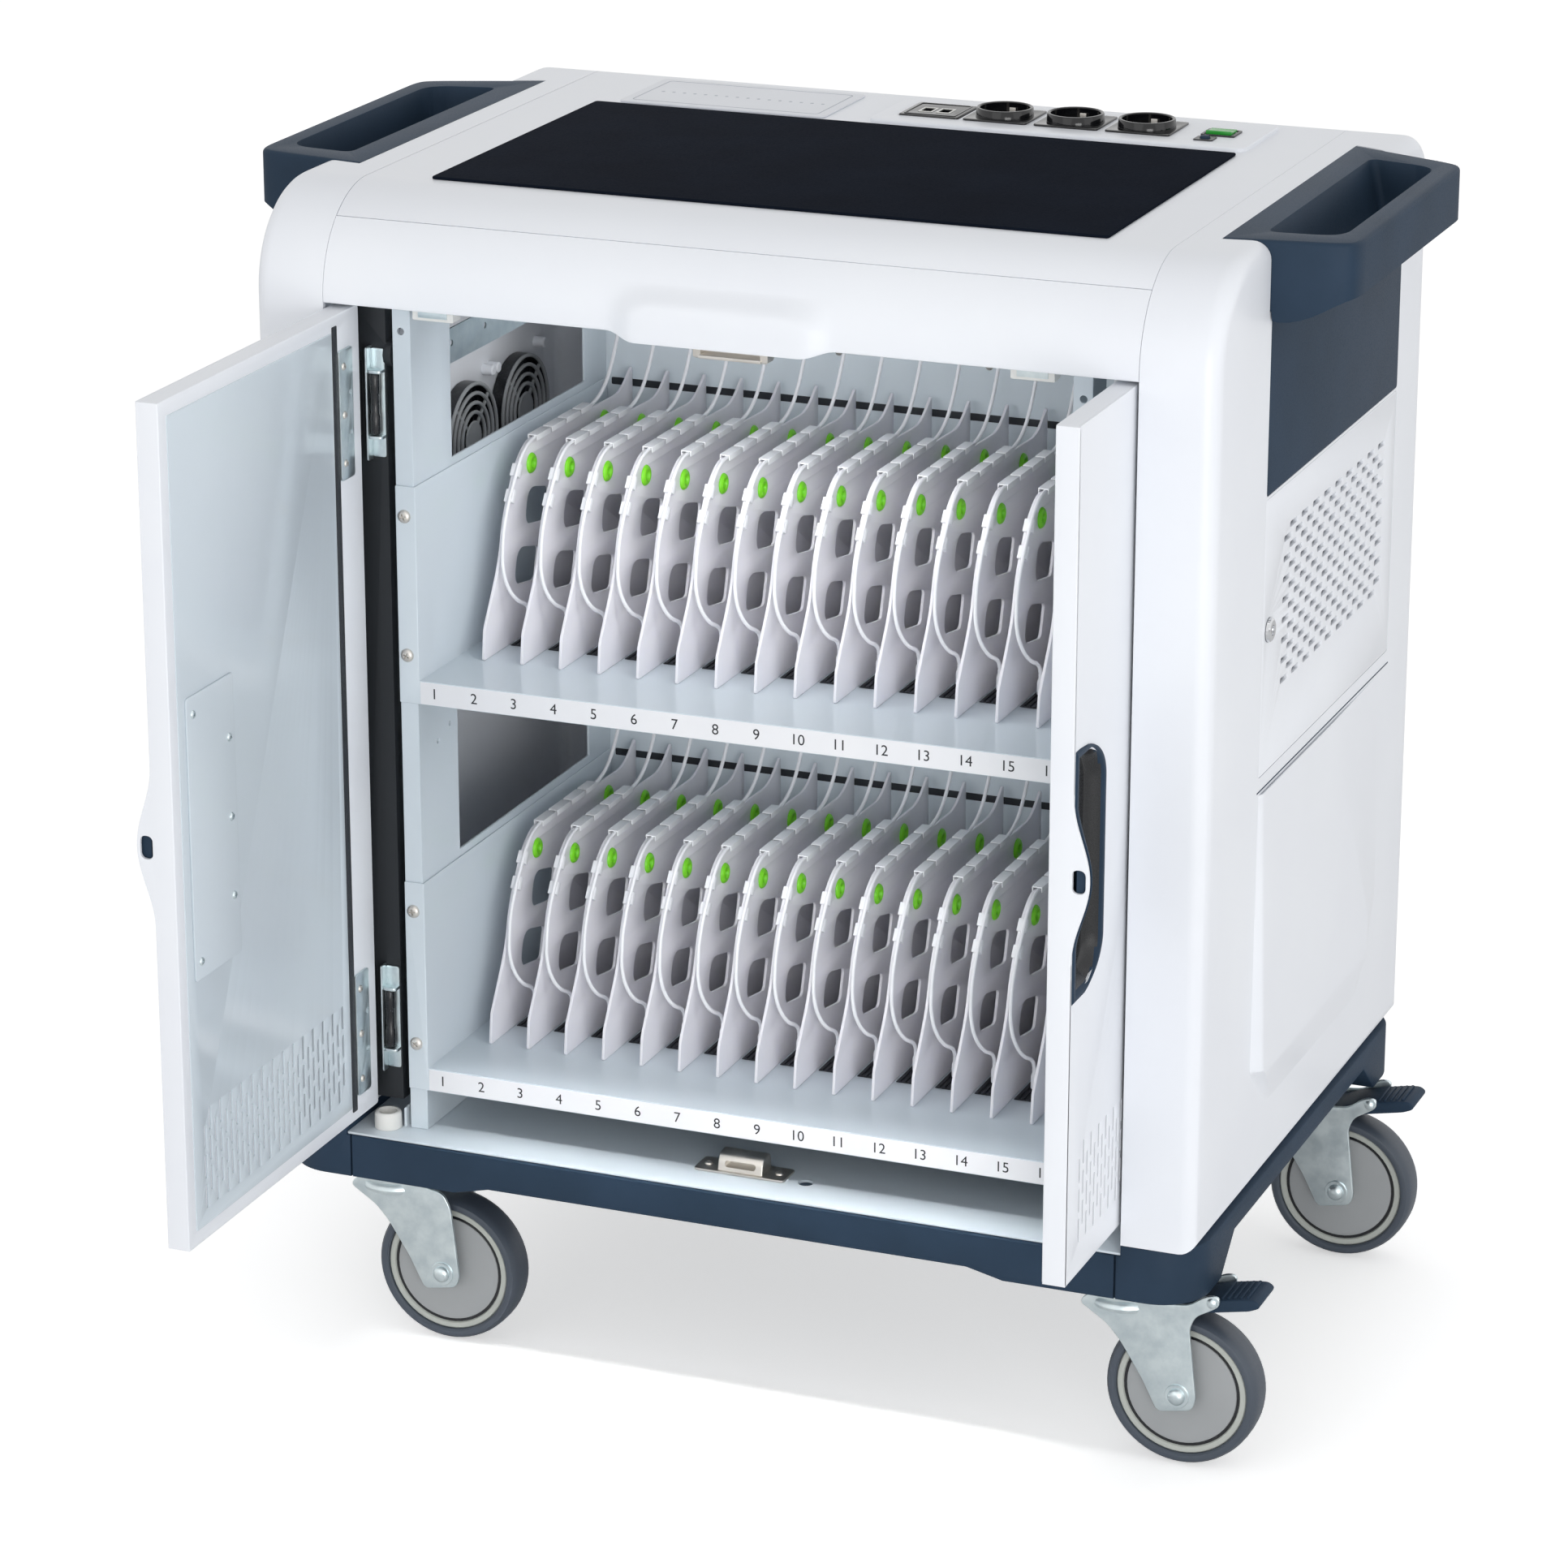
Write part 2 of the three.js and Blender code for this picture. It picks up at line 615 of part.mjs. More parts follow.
// Fan plate on the inside of the left side panel
const fanRadius = 42;
const fanRim = 4;
const fanDepth = 16;
const fanMargin = 6;
const fanZ = upperFloor + 90;
const fanRear = 105;
const fanPitch = 104;
const fanPlaces = [bodyDepth - fanRear - fanPitch, bodyDepth - fanRear];
const fanWall = bodyHalf - shellWall - gap;
const fanPlate = block(-fanWall, -fanWall + sheet,
  fanPlaces[0] - fanRadius - fanMargin, fanPlaces[1] + fanRadius + fanMargin,
  fanZ - fanRadius - fanMargin, fanZ + fanRadius + fanMargin);
const fans = fanPlaces.map((y) => cut(
  rod(acrossX, y, fanZ, fanRadius, -fanWall + sheet / 2, -fanWall + fanDepth, 16),
  [rod(acrossX, y, fanZ, fanRadius - fanRim, -fanWall + sheet, -fanWall + fanDepth + 1, 16)]));
add('fan_panel', join([fanPlate, ...fans]), blackPlastic);

// Power supply in the rear compartment
const supplyHalf = 190;
const supplyFront = 30;
const supplyRear = 39;
const supplyHeight = 110;
add('power_supply', block(-supplyHalf, supplyHalf, frameRear + supplyFront, bodyDepth - supplyRear,
  panTop + gap, panTop + supplyHeight), darkPlastic);

// Strikes for the door lock, under the fascia and on the pan
const strikeHalf = 30;
const strikeFront = doorThickness + 3;
const underHeader = openingTop - gap;
add('top_strike', join([
  block(-strikeHalf, strikeHalf, strikeFront, headerDepth, underHeader - sheet, underHeader),
  block(-strikeHalf + 12, strikeHalf - 12, strikeFront, strikeFront + sheet, underHeader - 22, underHeader),
]), zinc);
add('bottom_strike', join([
  block(-strikeHalf - 8, strikeHalf + 8, strikeFront + 11, strikeFront + 37, panTop + gap, panTop + sheet),
  block(-strikeHalf + 8, strikeHalf - 8, strikeFront + 17, strikeFront + 31, panTop + 1, panTop + 16),
]), zinc);

// Upper door rails on the inner frames
const upperRailLow = upperRailZ - railHeight / 2;
function doorRail(side) {
  const back = frameOuter + gap;
  const section = (y0, z0, z1, x1) => sideBlock(side, back, x1, y0, frameRear - gap, z0, z1);
  return join([
    section(frameFront, upperRailLow, upperRailLow + railHeight, back + 1.5),
    section(frameFront, upperRailLow, upperRailLow + 1.5, back + railDepthX),
    section(frameFront, upperRailLow + railHeight - 1.5, upperRailLow + railHeight, back + railDepthX),
  ]);
}
add('left_rail', doorRail(-1), zinc);
add('right_rail', doorRail(1), zinc);

// Hinge carriages: an upright behind the door's hinge edge, with knuckles and a roller in the rail
const uprightFront = 32;
const uprightDepth = 14;
const uprightInner = frameOuter + gap + railDepthX + 1.5;
const uprightOuter = openingHalf - 6;
function carriage(side, slid) {
  const front = uprightFront + slid;
  const pieces = [
    sideBlock(side, uprightInner, uprightOuter, front, front + uprightDepth,
      panTop + guideHeight + 6, doorTop),
    rod(acrossX, front + uprightDepth / 2, upperRailZ, railHeight / 2 - 1.5 - runningGap,
      ...spanX(side, frameOuter + gap + 1.5 + runningGap, uprightInner + 1)),
  ];
  for (const z of hingeHeights) {
    const low = z - knuckleHeight / 2 + 1;
    const high = z + knuckleHeight / 2 - 1;
    pieces.push(rod(acrossZ, side * hingeX, hingeY + slid, knuckleRadius, low, high, 16));
    pieces.push(sideBlock(side, hingeX - 4, hingeX + 4, hingeY + slid + 2, front + 1, low, high));
  }
  const boreRadius = hingePinRadius + runningGap;
  const bores = hingeHeights.map((z) => rod(acrossZ, side * hingeX, hingeY + slid, boreRadius,
    z - knuckleHeight, z + knuckleHeight, 16));
  return cut(join(pieces), bores);
}
add('left_carriage', carriage(-1, 0), zinc);
add('right_carriage', carriage(1, rightDoorIn), zinc);

// Doors, drawn open: a rimmed panel with vent slots, hinge pins and a wave-shaped pull lip
const doorEndRound = 6;
function doorSlots(side, slid) {
  const slots = [];
  const slotHeight = 26;
  const columns = 11;
  for (let column = 0; column < columns; column += 1) {
    const y = doorFree + slid + 34 + column * 22;
    const lift = column % 2 ? 20 : 0;
    for (const row of [0, 1]) {
      const z = doorBottom + 24 + lift + row * 40;
      slots.push(sideBlock(side, doorInner - 1, doorOuter + 1, y, y + 4, z, z + slotHeight));
    }
  }
  return slots;
}

function door(side, slid) {
  const rear = hingeY + doorThickness / 2 + slid;
  const front = doorFree + slid;
  const [low, high] = spanX(side, doorInner, doorOuter);
  const plan = new THREE.Shape();
  plan.moveTo(low, front);
  plan.lineTo(high, front);
  plan.lineTo(high, rear - doorEndRound);
  plan.absarc(high - doorEndRound, rear - doorEndRound, doorEndRound, 0, Math.PI / 2);
  plan.lineTo(low + doorEndRound, rear);
  plan.absarc(low + doorEndRound, rear - doorEndRound, doorEndRound, Math.PI / 2, Math.PI);
  const clear = knuckleRadius + runningGap;
  const notches = hingeHeights.map((z) => sideBlock(side, doorInner - 1, hingeX + clear,
    hingeY + slid - clear, rear + 1, z - knuckleHeight / 2, z + knuckleHeight / 2));
  const recess = sideBlock(side, doorInner - 1, doorInner + doorRecess, front + doorRim, rear - 3 * doorRim,
    doorBottom + doorRim, doorTop - doorRim);
  const slab = cut(prism(plan, acrossZ, doorBottom, doorTop), [recess, ...notches, ...doorSlots(side, slid)]);
  const pins = hingeHeights.map((z) => rod(acrossZ, side * hingeX, hingeY + slid, hingePinRadius,
    z - knuckleHeight / 2 - 2, z + knuckleHeight / 2 + 2, 16));
  return join([slab, ...pins, pullLip(side, front)]);
}

// The lip bulges past the door's outer face along a cosine wave, with a padlock hole in its middle.
function pullLip(side, front) {
  const steps = 16;
  const middle = (lipBottom + lipTop) / 2;
  const outline = [[lipTop, side * (doorOuter - 4)], [lipBottom, side * (doorOuter - 4)]];
  for (let step = 0; step <= steps; step += 1) {
    const share = step / steps;
    const reach = (lipBulge * (1 - Math.cos(2 * Math.PI * share))) / 2;
    outline.push([lipBottom + (lipTop - lipBottom) * share, side * (doorOuter + 0.4 + reach)]);
  }
  const hole = rod(acrossY, middle, side * (doorOuter + lipBulge / 2), lockHole / 2,
    front - 1, front + lipThickness + 1);
  return cut(prism(outline, acrossY, front, front + lipThickness), [hole]);
}
add('left_door', door(-1, 0), whiteShell);
add('right_door', door(1, rightDoorIn), whiteShell);

// Scooped handle cups behind the lips, on the outer faces
function handleCup(side, slid) {
  const front = doorFree + slid + lipThickness + gap;
  const middle = (lipBottom + lipTop) / 2;
  const half = (lipTop - lipBottom) / 2 - 8;
  const steps = 12;
  const outline = [];
  for (let step = 0; step <= steps; step += 1) {
    const angle = Math.PI * (step / steps);
    outline.push([front + cupDepth * Math.sin(angle) ** 0.7, middle + half * Math.cos(angle)]);
  }
  const scoop = outline.map(([y, z]) => [front - 1 + (y - front) * 0.78, middle + (z - middle) * 0.84]);
  const body = prism(outline, acrossX, ...spanX(side, doorOuter + gap, doorOuter + gap + cupHeight));
  return cut(body, [prism(scoop, acrossX, ...spanX(side, doorOuter + gap + 3, doorOuter + cupHeight + 2))]);
}
add('left_handle_cup', handleCup(-1, 0), darkPlastic);
add('right_handle_cup', handleCup(1, rightDoorIn), darkPlastic);

// Lock covers on the inner faces, near the free edge
function lockCover(side, slid) {
  const front = doorFree + slid + doorRim + 14;
  return sideBlock(side, doorInner + 0.4, doorInner + doorRecess - gap, front, front + lockCoverWidth,
    lockCoverBottom, lockCoverTop);
}
add('left_lock_cover', lockCover(-1, 0), greySheet);
add('right_lock_cover', lockCover(1, rightDoorIn), greySheet);

// Vent panel on the right side with staggered louvre slots, and its cam lock
const ventTop = sidePlateBottom - 3;
function ventPanel() {
  const panel = block(bodyHalf - shellWall, bodyHalf, sidePlateFront, sidePlateRear, ventBottom, ventTop);
  const slots = [];
  const left = sidePlateFront + 40;
  const pitchY = (sidePlateRear - left - 24) / ventColumns;
  const pitchZ = (ventTop - ventBottom - 50) / ventRows;
  for (let row = 0; row < ventRows; row += 1) {
    const shift = row % 2 ? pitchY / 2 : 0;
    for (let column = 0; column < ventColumns - (row % 2); column += 1) {
      const y = left + shift + column * pitchY;
      const z = ventBottom + 25 + row * pitchZ;
      slots.push(block(bodyHalf - shellWall - 1, bodyHalf + 1, y, y + pitchY * 0.62, z, z + 5));
    }
  }
  const lockBore = rod(acrossX, sidePlateFront + 15, ventLockZ, ventLockRadius + runningGap,
    bodyHalf - shellWall - 1, bodyHalf + 1, 16);
  return cut(panel, [...slots, lockBore]);
}
add('right_vent_panel', ventPanel(), whiteShell);
const lockY = sidePlateFront + 15;
const camLow = bodyHalf - shellWall - 4;
add('vent_lock', join([
  rod(acrossX, lockY, ventLockZ, ventLockRadius, camLow, bodyHalf + 3, 16),
  rod(acrossX, lockY, ventLockZ, ventLockRadius + 2, bodyHalf + gap, bodyHalf + 3, 16),
  block(camLow - 2, camLow + 1, lockY - 6, lockY + 6, ventLockZ - 6, ventLockZ + 24),
]), zinc);

// Casters: plate and race, swivelling fork with its axle, wheel hub and tyre
const plateZ = baseBottom - gap;
const raceBottom = plateZ - casterPlate - raceHeight;
const crownTop = raceBottom - gap;
const crownBottom = crownTop - crownHeight;
function wheelRing(profile) {
  const points = [...profile, profile[0]].map(([radius, across]) => new THREE.Vector2(radius, across));
  return toSolid(new THREE.LatheGeometry(points, wheelSides, Math.PI / wheelSides));
}

function caster(name, x, y, braked) {
  const turned = new THREE.Group();
  turned.position.set(x, y, 0);
  cart.add(turned);
  const place = (part, solid, material) => turned.add(toMesh(`${name}_${part}`, solid, material));
  const [plateX, plateY] = casterPlateHalf;
  place('mount', join([
    block(-plateX, plateX, -plateY, plateY, plateZ - casterPlate, plateZ),
    rod(acrossZ, 0, 0, raceRadius, raceBottom, plateZ - casterPlate + 1, 16),
  ]), zinc);

  const legHalf = 17;
  const forkOuter = forkInner + forkSheet;
  const leg = [
    [crownTop, -26], [crownTop, 34], [crownTop - 1, 48], [crownBottom - 8, 50],
    [crownBottom - 14, casterTrail + legHalf - 2],
    [axleHeight - 6, casterTrail + legHalf - 3], [axleHeight - 15, casterTrail],
    [axleHeight - 6, casterTrail - legHalf + 3],
    [crownBottom - 12, -24],
  ];
  const legs = [[-forkOuter, -forkInner], [forkInner, forkOuter]].map(([low, high]) =>
    prism(leg, acrossY, low, high));
  place('fork', join([
    rod(acrossZ, 0, 0, raceRadius - 2, crownBottom, crownTop, 16),
    block(-26, 34, -forkOuter, forkOuter, crownBottom, crownTop),
    ...legs,
    rod(acrossY, axleHeight, casterTrail, axleRadius, -forkOuter - 1, forkOuter + 1),
    rod(acrossY, axleHeight, casterTrail, axleRadius + 4, -forkOuter - 5, -forkOuter + 0.5),
    rod(acrossY, axleHeight, casterTrail, axleRadius + 4, forkOuter - 0.5, forkOuter + 5),
  ]), zinc);

  const wheel = new THREE.Group();
  wheel.position.set(casterTrail, 0, axleHeight);
  turned.add(wheel);
  const hubHalf = tyreWidth / 2 - 1;
  const bossHalf = forkInner - runningGap;
  const bore = axleRadius + runningGap;
  wheel.add(toMesh(`${name}_hub`, wheelRing([
    [bore, -bossHalf], [14, -bossHalf], [16, -hubHalf + 5], [hubRadius - 6, -hubHalf + 5],
    [hubRadius, -hubHalf], [hubRadius, hubHalf], [hubRadius - 6, hubHalf - 5], [16, hubHalf - 5],
    [14, bossHalf], [bore, bossHalf],
  ]), hubPlastic));
  const treadHalf = tyreWidth / 2;
  const tyreInner = hubRadius + gap;
  wheel.add(toMesh(`${name}_tyre`, wheelRing([
    [tyreInner, -treadHalf + 1], [wheelRadius - 6, -treadHalf], [wheelRadius - 1.5, -treadHalf + 4],
    [wheelRadius, -treadHalf + 10], [wheelRadius, treadHalf - 10], [wheelRadius - 1.5, treadHalf - 4],
    [wheelRadius - 6, treadHalf], [tyreInner, treadHalf - 1],
  ]), tyreRubber));

  if (braked) {
    const pivotZ = crownTop - 4.5;
    const pedalX = 42;
    const pedalPin = 4;
    const pedalNeck = 24;
    const pedalEnd = casterTrail + wheelRadius - pedalPin;
    const pedalHalf = forkInner - runningGap;
    place('brake', join([
      rod(acrossY, pivotZ, pedalX, pedalPin, -pedalHalf, pedalHalf),
      prism([
        [pivotZ - 1, pedalX], [pivotZ + pedalPin, pedalX], [pivotZ + 10, pedalX + pedalNeck],
        [pivotZ + 9, pedalEnd - pedalPin], [pivotZ + pedalPin, pedalEnd], [pivotZ + 1, pedalX + pedalNeck],
      ], acrossY, -pedalHalf, pedalHalf),
    ]), darkPlastic);
  }
}
const casterRear = bodyDepth - casterInset;
caster('front_left_caster', -casterX, casterInset, false);
caster('rear_left_caster', -casterX, casterRear, false);
caster('front_right_caster', casterX, casterInset, true);
caster('rear_right_caster', casterX, casterRear, true);

export default cart;
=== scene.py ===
# %% [markdown]
# # A charging cart for tablets
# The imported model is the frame: every piece below is dressed over it, in metres, and rides on one of
# its bodies. Sizes are written in millimetres, as a workshop drawing has them, measured from the middle
# of the cart, from the plane of its front and from the floor.

# %% load the frame
from math import cos, pi, radians, sin

import bpy
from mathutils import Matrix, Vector


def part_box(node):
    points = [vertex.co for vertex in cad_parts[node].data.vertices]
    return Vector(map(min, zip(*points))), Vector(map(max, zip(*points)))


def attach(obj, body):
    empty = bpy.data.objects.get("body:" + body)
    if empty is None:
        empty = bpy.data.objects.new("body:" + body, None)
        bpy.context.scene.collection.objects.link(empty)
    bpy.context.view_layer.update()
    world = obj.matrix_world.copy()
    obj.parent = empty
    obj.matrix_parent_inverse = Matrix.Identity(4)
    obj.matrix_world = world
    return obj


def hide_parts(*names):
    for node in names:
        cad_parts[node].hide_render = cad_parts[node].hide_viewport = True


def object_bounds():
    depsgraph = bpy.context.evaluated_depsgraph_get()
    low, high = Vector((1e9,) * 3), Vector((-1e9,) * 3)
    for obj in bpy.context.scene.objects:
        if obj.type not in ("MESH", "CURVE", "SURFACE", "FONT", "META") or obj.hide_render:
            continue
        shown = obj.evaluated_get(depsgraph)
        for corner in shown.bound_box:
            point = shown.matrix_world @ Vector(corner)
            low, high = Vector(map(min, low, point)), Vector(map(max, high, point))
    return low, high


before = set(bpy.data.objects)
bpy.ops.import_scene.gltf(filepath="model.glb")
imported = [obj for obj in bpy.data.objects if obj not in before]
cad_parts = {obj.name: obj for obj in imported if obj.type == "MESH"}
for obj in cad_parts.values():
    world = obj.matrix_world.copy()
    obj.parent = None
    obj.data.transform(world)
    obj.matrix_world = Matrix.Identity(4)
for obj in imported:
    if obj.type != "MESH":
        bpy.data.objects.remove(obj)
cad_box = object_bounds()
MM = 0.001
front_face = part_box("base_skirt")[0].y


def cabinet(x, y, z):
    """A point in millimetres from the cart's middle, front and floor, as metres in the frame."""
    return Vector((x * MM, front_face + y * MM, z * MM))


print("CAD box", [round(v, 4) for corner in cad_box for v in corner])

# %% [markdown]
# ## The camera
# The photograph was taken from the right of the front, a little above the work top, with a long lens
# that keeps the far side nearly as large as the near one. Place, turn and lens come from a fit of about
# twenty corners of the cabinet, without lens shift, so that every other view frames the cart as well.

# %% camera
camera_data = bpy.data.cameras.new("studio_camera")
camera_data.sensor_width = 36
camera_data.lens = 124
camera = bpy.data.objects.new("studio_camera", camera_data)
camera.location = (1.4923, -3.7138, 1.8379)
camera.rotation_euler = (radians(90 - 18.67), 0, radians(21.88))
bpy.context.collection.objects.link(camera)
bpy.context.scene.camera = camera
bpy.context.scene.view_settings.view_transform = "Standard"
print("camera", camera_data.lens, "mm at", tuple(camera.location))

# %% [markdown]
# ## Small tools for the finishes
# A colour is written as an sRGB hex value, as a paint chart gives it, and turned to the linear light
# that Blender computes with. One small function adds a node with its settings and its links. Every finish
# of the cart varies in tone and gloss and has a fine relief, so they share the last steps.

# %% colours and nodes


def linear(code):
    """An sRGB hex value such as 'C9D4DB' as linear red, green, blue and alpha."""
    parts = [int(code[i:i + 2], 16) / 255 for i in (0, 2, 4)]
    return [p / 12.92 if p <= 0.04045 else ((p + 0.055) / 1.055) ** 2.4 for p in parts] + [1]


def add_node(material, kind, settings, links=None):
    """Adds a node: settings are socket values or attributes by name, links lead from a socket."""
    node = material.node_tree.nodes.new(kind)
    for name, value in settings.items():
        if name in node.inputs:
            node.inputs[name].default_value = value
        else:
            setattr(node, name, value)
    for name, source in (links or {}).items():
        material.node_tree.links.new(source, node.inputs[name])
    return node


def blank(name):
    """A new material with an empty node tree, and its Object coordinates, which are metres."""
    material = bpy.data.materials.new(name)
    material.use_nodes = True
    material.node_tree.nodes.clear()
    place = add_node(material, "ShaderNodeTexCoord", {}).outputs["Object"]
    return material, place


def surfaced(material, shader):
    """Leads a shader to the material's output and returns the material."""
    add_node(material, "ShaderNodeOutputMaterial", {}, {"Surface": shader.outputs["BSDF"]})
    return material


def skinned(material, tones, gloss, relief, sockets):
    """The skin of a finish: tone and gloss each follow a pattern, and a relief goes to the bump."""
    pattern, shade, code, low, high = tones
    ramp = add_node(material, "ShaderNodeValToRGB", {}, {"Fac": pattern})
    for stop, position, tint in zip(ramp.color_ramp.elements, (low, high), (shade, code)):
        stop.position = position
        stop.color = linear(tint)
    pattern, low, high, smoothest, roughest = gloss
    sheen = add_node(material, "ShaderNodeMapRange",
                     {"From Min": low, "From Max": high, "To Min": smoothest, "To Max": roughest},
                     {"Value": pattern})
    pattern, strength, depth = relief
    bump = add_node(material, "ShaderNodeBump", {"Strength": strength, "Distance": depth},
                    {"Height": pattern})
    shader = add_node(material, "ShaderNodeBsdfPrincipled", sockets,
                      {"Base Color": ramp.outputs["Color"], "Roughness": sheen.outputs["Result"],
                       "Normal": bump.outputs["Normal"]})
    return surfaced(material, shader)


print("linear value of C9D4DB", [round(v, 3) for v in linear("C9D4DB")])

# %% [markdown]
# ## Painted steel
# The cabinet is steel sheet with a powder coat: the powder melts in an oven into a skin with a faint
# orange peel, waves of a few millimetres that soften reflections. The outside is a cool white in a satin
# gloss; the inside is a pale blue grey that is glossy enough to mirror the dividers. A noise gives the
# peel to the bump, and a broad one lets gloss and tone drift a little, as on every sprayed part.

# %% powder coats
patch_mm = 160


def powder_coat(name, code, shade, roughness, peel_mm, peel_depth_mm):
    """Powder coat on steel: tone and gloss drift over hand-sized patches, orange peel in the bump."""
    material, place = blank(name)
    drift = add_node(material, "ShaderNodeTexNoise", {"Scale": 1 / (patch_mm * MM), "Detail": 3},
                     {"Vector": place}).outputs["Fac"]
    peel = add_node(material, "ShaderNodeTexNoise", {"Scale": 1 / (peel_mm * MM), "Detail": 2},
                    {"Vector": place}).outputs["Fac"]
    return skinned(material, (drift, shade, code, 0.3, 0.7),
                   (drift, 0.3, 0.7, roughness - 0.03, roughness + 0.04),
                   (peel, 0.5, peel_depth_mm * MM), {"IOR": 1.5})


# A satin white that keeps soft broad highlights on the round edges.
white_coat = powder_coat("white_powder_coat", "EDF0F5", "E9ECF2", 0.36, 3.5, 0.03)
# The inside coat: blue grey and glossier, so that neighbours show in it as soft mirror images.
grey_coat = powder_coat("grey_powder_coat", "D4DEE5", "D0DAE2", 0.17, 5.0, 0.01)
# Painted shade: the door carriages get a dull, near black coat, so that they sink behind the posts as the
# deep shadow there.
painted_shade_coat = powder_coat("painted_shade_dark_coat", "23272C", "1C2024", 0.55, 3.0, 0.03)
print("powder coats:", white_coat.name, grey_coat.name, painted_shade_coat.name)

# %% [markdown]
# ## Moulded plastics
# Handles, base, dividers, grommets and the small fittings are injection moulded. The mould was etched,
# so the skin carries a fine leathery grain that breaks up highlights; polished moulds leave it out. The
# etched grain is well under a millimetre, so it is drawn about twice as coarse, to show at this size.

# %% moulded plastics
flow_mm = 70


def moulded(name, code, shade, roughness, grain_mm, grain_depth_mm, sockets=None):
    """Moulded plastic: an etched grain in the bump, and a tone that drifts as the melt flowed."""
    material, place = blank(name)
    flow = add_node(material, "ShaderNodeTexNoise", {"Scale": 1 / (flow_mm * MM), "Detail": 4},
                    {"Vector": place}).outputs["Fac"]
    etch = add_node(material, "ShaderNodeTexVoronoi", {"Scale": 1 / (grain_mm * MM), "Randomness": 1.0},
                    {"Vector": place}).outputs["Distance"]
    return skinned(material, (flow, shade, code, 0.32, 0.68),
                   (etch, 0.0, 1.0, roughness - 0.05, roughness + 0.07),
                   (etch, 0.6, grain_depth_mm * MM), {"IOR": 1.53, **(sockets or {})})


# Slate ABS of the base and the handles: matt, with broad soft highlights on its rounds.
slate_abs = moulded("slate_moulded_abs", "2C3D50", "283849", 0.5, 1.1, 0.05, {"Specular IOR Level": 0.12})
# Black ABS of the cups, bezels and fans: darker and glossier than the slate. It also fills the floor of
# the wheel grooves, where its black is painted shade.
black_abs_and_shade = moulded("black_moulded_abs_and_shade", "1B1D21", "17191C", 0.28, 0.9, 0.02)
# The sockets and the charging insert come from a polished mould: near black, with clear reflections.
gloss_abs = moulded("polished_black_abs", "101114", "0D0E11", 0.1, 0.9, 0.004)
# Divider polypropylene: milky, a little waxy, with a lavender cast from the studio.
milky_pp = moulded("milky_polypropylene", "F1F0F5", "ECEBF1", 0.42, 1.2, 0.02,
                   {"Subsurface Weight": 0.12, "Subsurface Radius": (0.004, 0.004, 0.005),
                    "Subsurface Scale": 0.4})
# Lead jackets and clips: soft white vinyl, smooth, with a thin highlight along the round. The same
# white, behind the doors' front vent slots, is painted light for the light that shows through them.
white_vinyl_and_painted_light = moulded("white_vinyl_and_painted_light", "F2F3F6", "EEEFF3", 0.38, 0.8, 0.01)
# Grommets: a bright, slightly see-through green elastomer.
green_rubber = moulded("green_elastomer", "86E42C", "7AD822", 0.36, 0.8, 0.02,
                       {"Subsurface Weight": 0.1, "Subsurface Radius": (0.002, 0.004, 0.001),
                        "Subsurface Scale": 0.4})
# The switch: polished green polycarbonate.
green_lens = moulded("green_polycarbonate", "2FA43A", "2A9A35", 0.16, 1.0, 0.006)
# Membrane panel: pale printed polyester film, satin.
pale_film = moulded("pale_polyester_film", "E3E6EC", "DFE2E8", 0.4, 0.9, 0.012)
# Natural nylon of the door guides, catches and charging ports: off-white and satin.
nylon = moulded("natural_nylon", "E9E9E6", "E2E2DE", 0.4, 0.9, 0.02)
# Wheel discs: mid grey polypropylene with a satin moulded skin.
disc_grey = moulded("grey_wheel_polypropylene", "A2A5A7", "9C9FA1", 0.45, 1.0, 0.03)
# The ring that holds the tyre: the same plastic, moulded a shade lighter and yellower.
ring_grey = moulded("pale_wheel_polypropylene", "B9BDB7", "B3B7B1", 0.45, 1.0, 0.03)
print("moulded plastics:", len(bpy.data.materials))

# %% [markdown]
# ## Metal, rubber and foam
# Casters and rails are zinc plated steel: the plating is bright and a little blue, with cloudy patches
# and fine drawing marks from the press. The strikes and screws are nickel plated and warmer. The tyres are
# a grey thermoplastic rubber, and the mat on the work top is a foam rubber with a fine pebble.

# %% metals and rubbers
mark_mm, mark_depth_mm = 1.2, 0.02


def plated(name, code, shade, roughness, cloud_mm):
    """Plated pressed steel: cloudy patches in tone and gloss, and fine marks in the bump."""
    material, place = blank(name)
    cloud = add_node(material, "ShaderNodeTexNoise",
                     {"Scale": 1 / (cloud_mm * MM), "Detail": 5, "Roughness": 0.6},
                     {"Vector": place}).outputs["Fac"]
    marks = add_node(material, "ShaderNodeTexNoise", {"Scale": 1 / (mark_mm * MM), "Detail": 2},
                     {"Vector": place}).outputs["Fac"]
    return skinned(material, (cloud, shade, code, 0.35, 0.65),
                   (cloud, 0.3, 0.7, roughness - 0.06, roughness + 0.1),
                   (marks, 0.3, mark_depth_mm * MM), {"Metallic": 1.0})


# Zinc: bluish, cloudy and half bright, so bends and bolts catch the light.
zinc = plated("zinc_plated_steel", "E2ECEE", "D0DCE0", 0.34, 14)
# Nickel: warmer, in larger clouds, with a satin shine.
nickel = plated("nickel_plated_steel", "E4E0DA", "D9D4CD", 0.4, 22)
# Chrome on the cam lock: bright with almost no cloud.
chrome = plated("chrome_plated_zamak", "DEDFE1", "D5D7DA", 0.1, 30)
# Tyre rubber: slate grey, dull, with a dusty pebble.
tyre_rubber = moulded("grey_thermoplastic_rubber", "4A525D", "444C57", 0.42, 1.4, 0.03,
                      {"Specular IOR Level": 0.45})
# Foam rubber of the mat: blue black and matt; its pebble of about 1 mm takes all shine off.
mat_foam = moulded("black_foam_rubber", "131924", "10151F", 0.9, 1.6, 0.12, {"Specular IOR Level": 0.03})
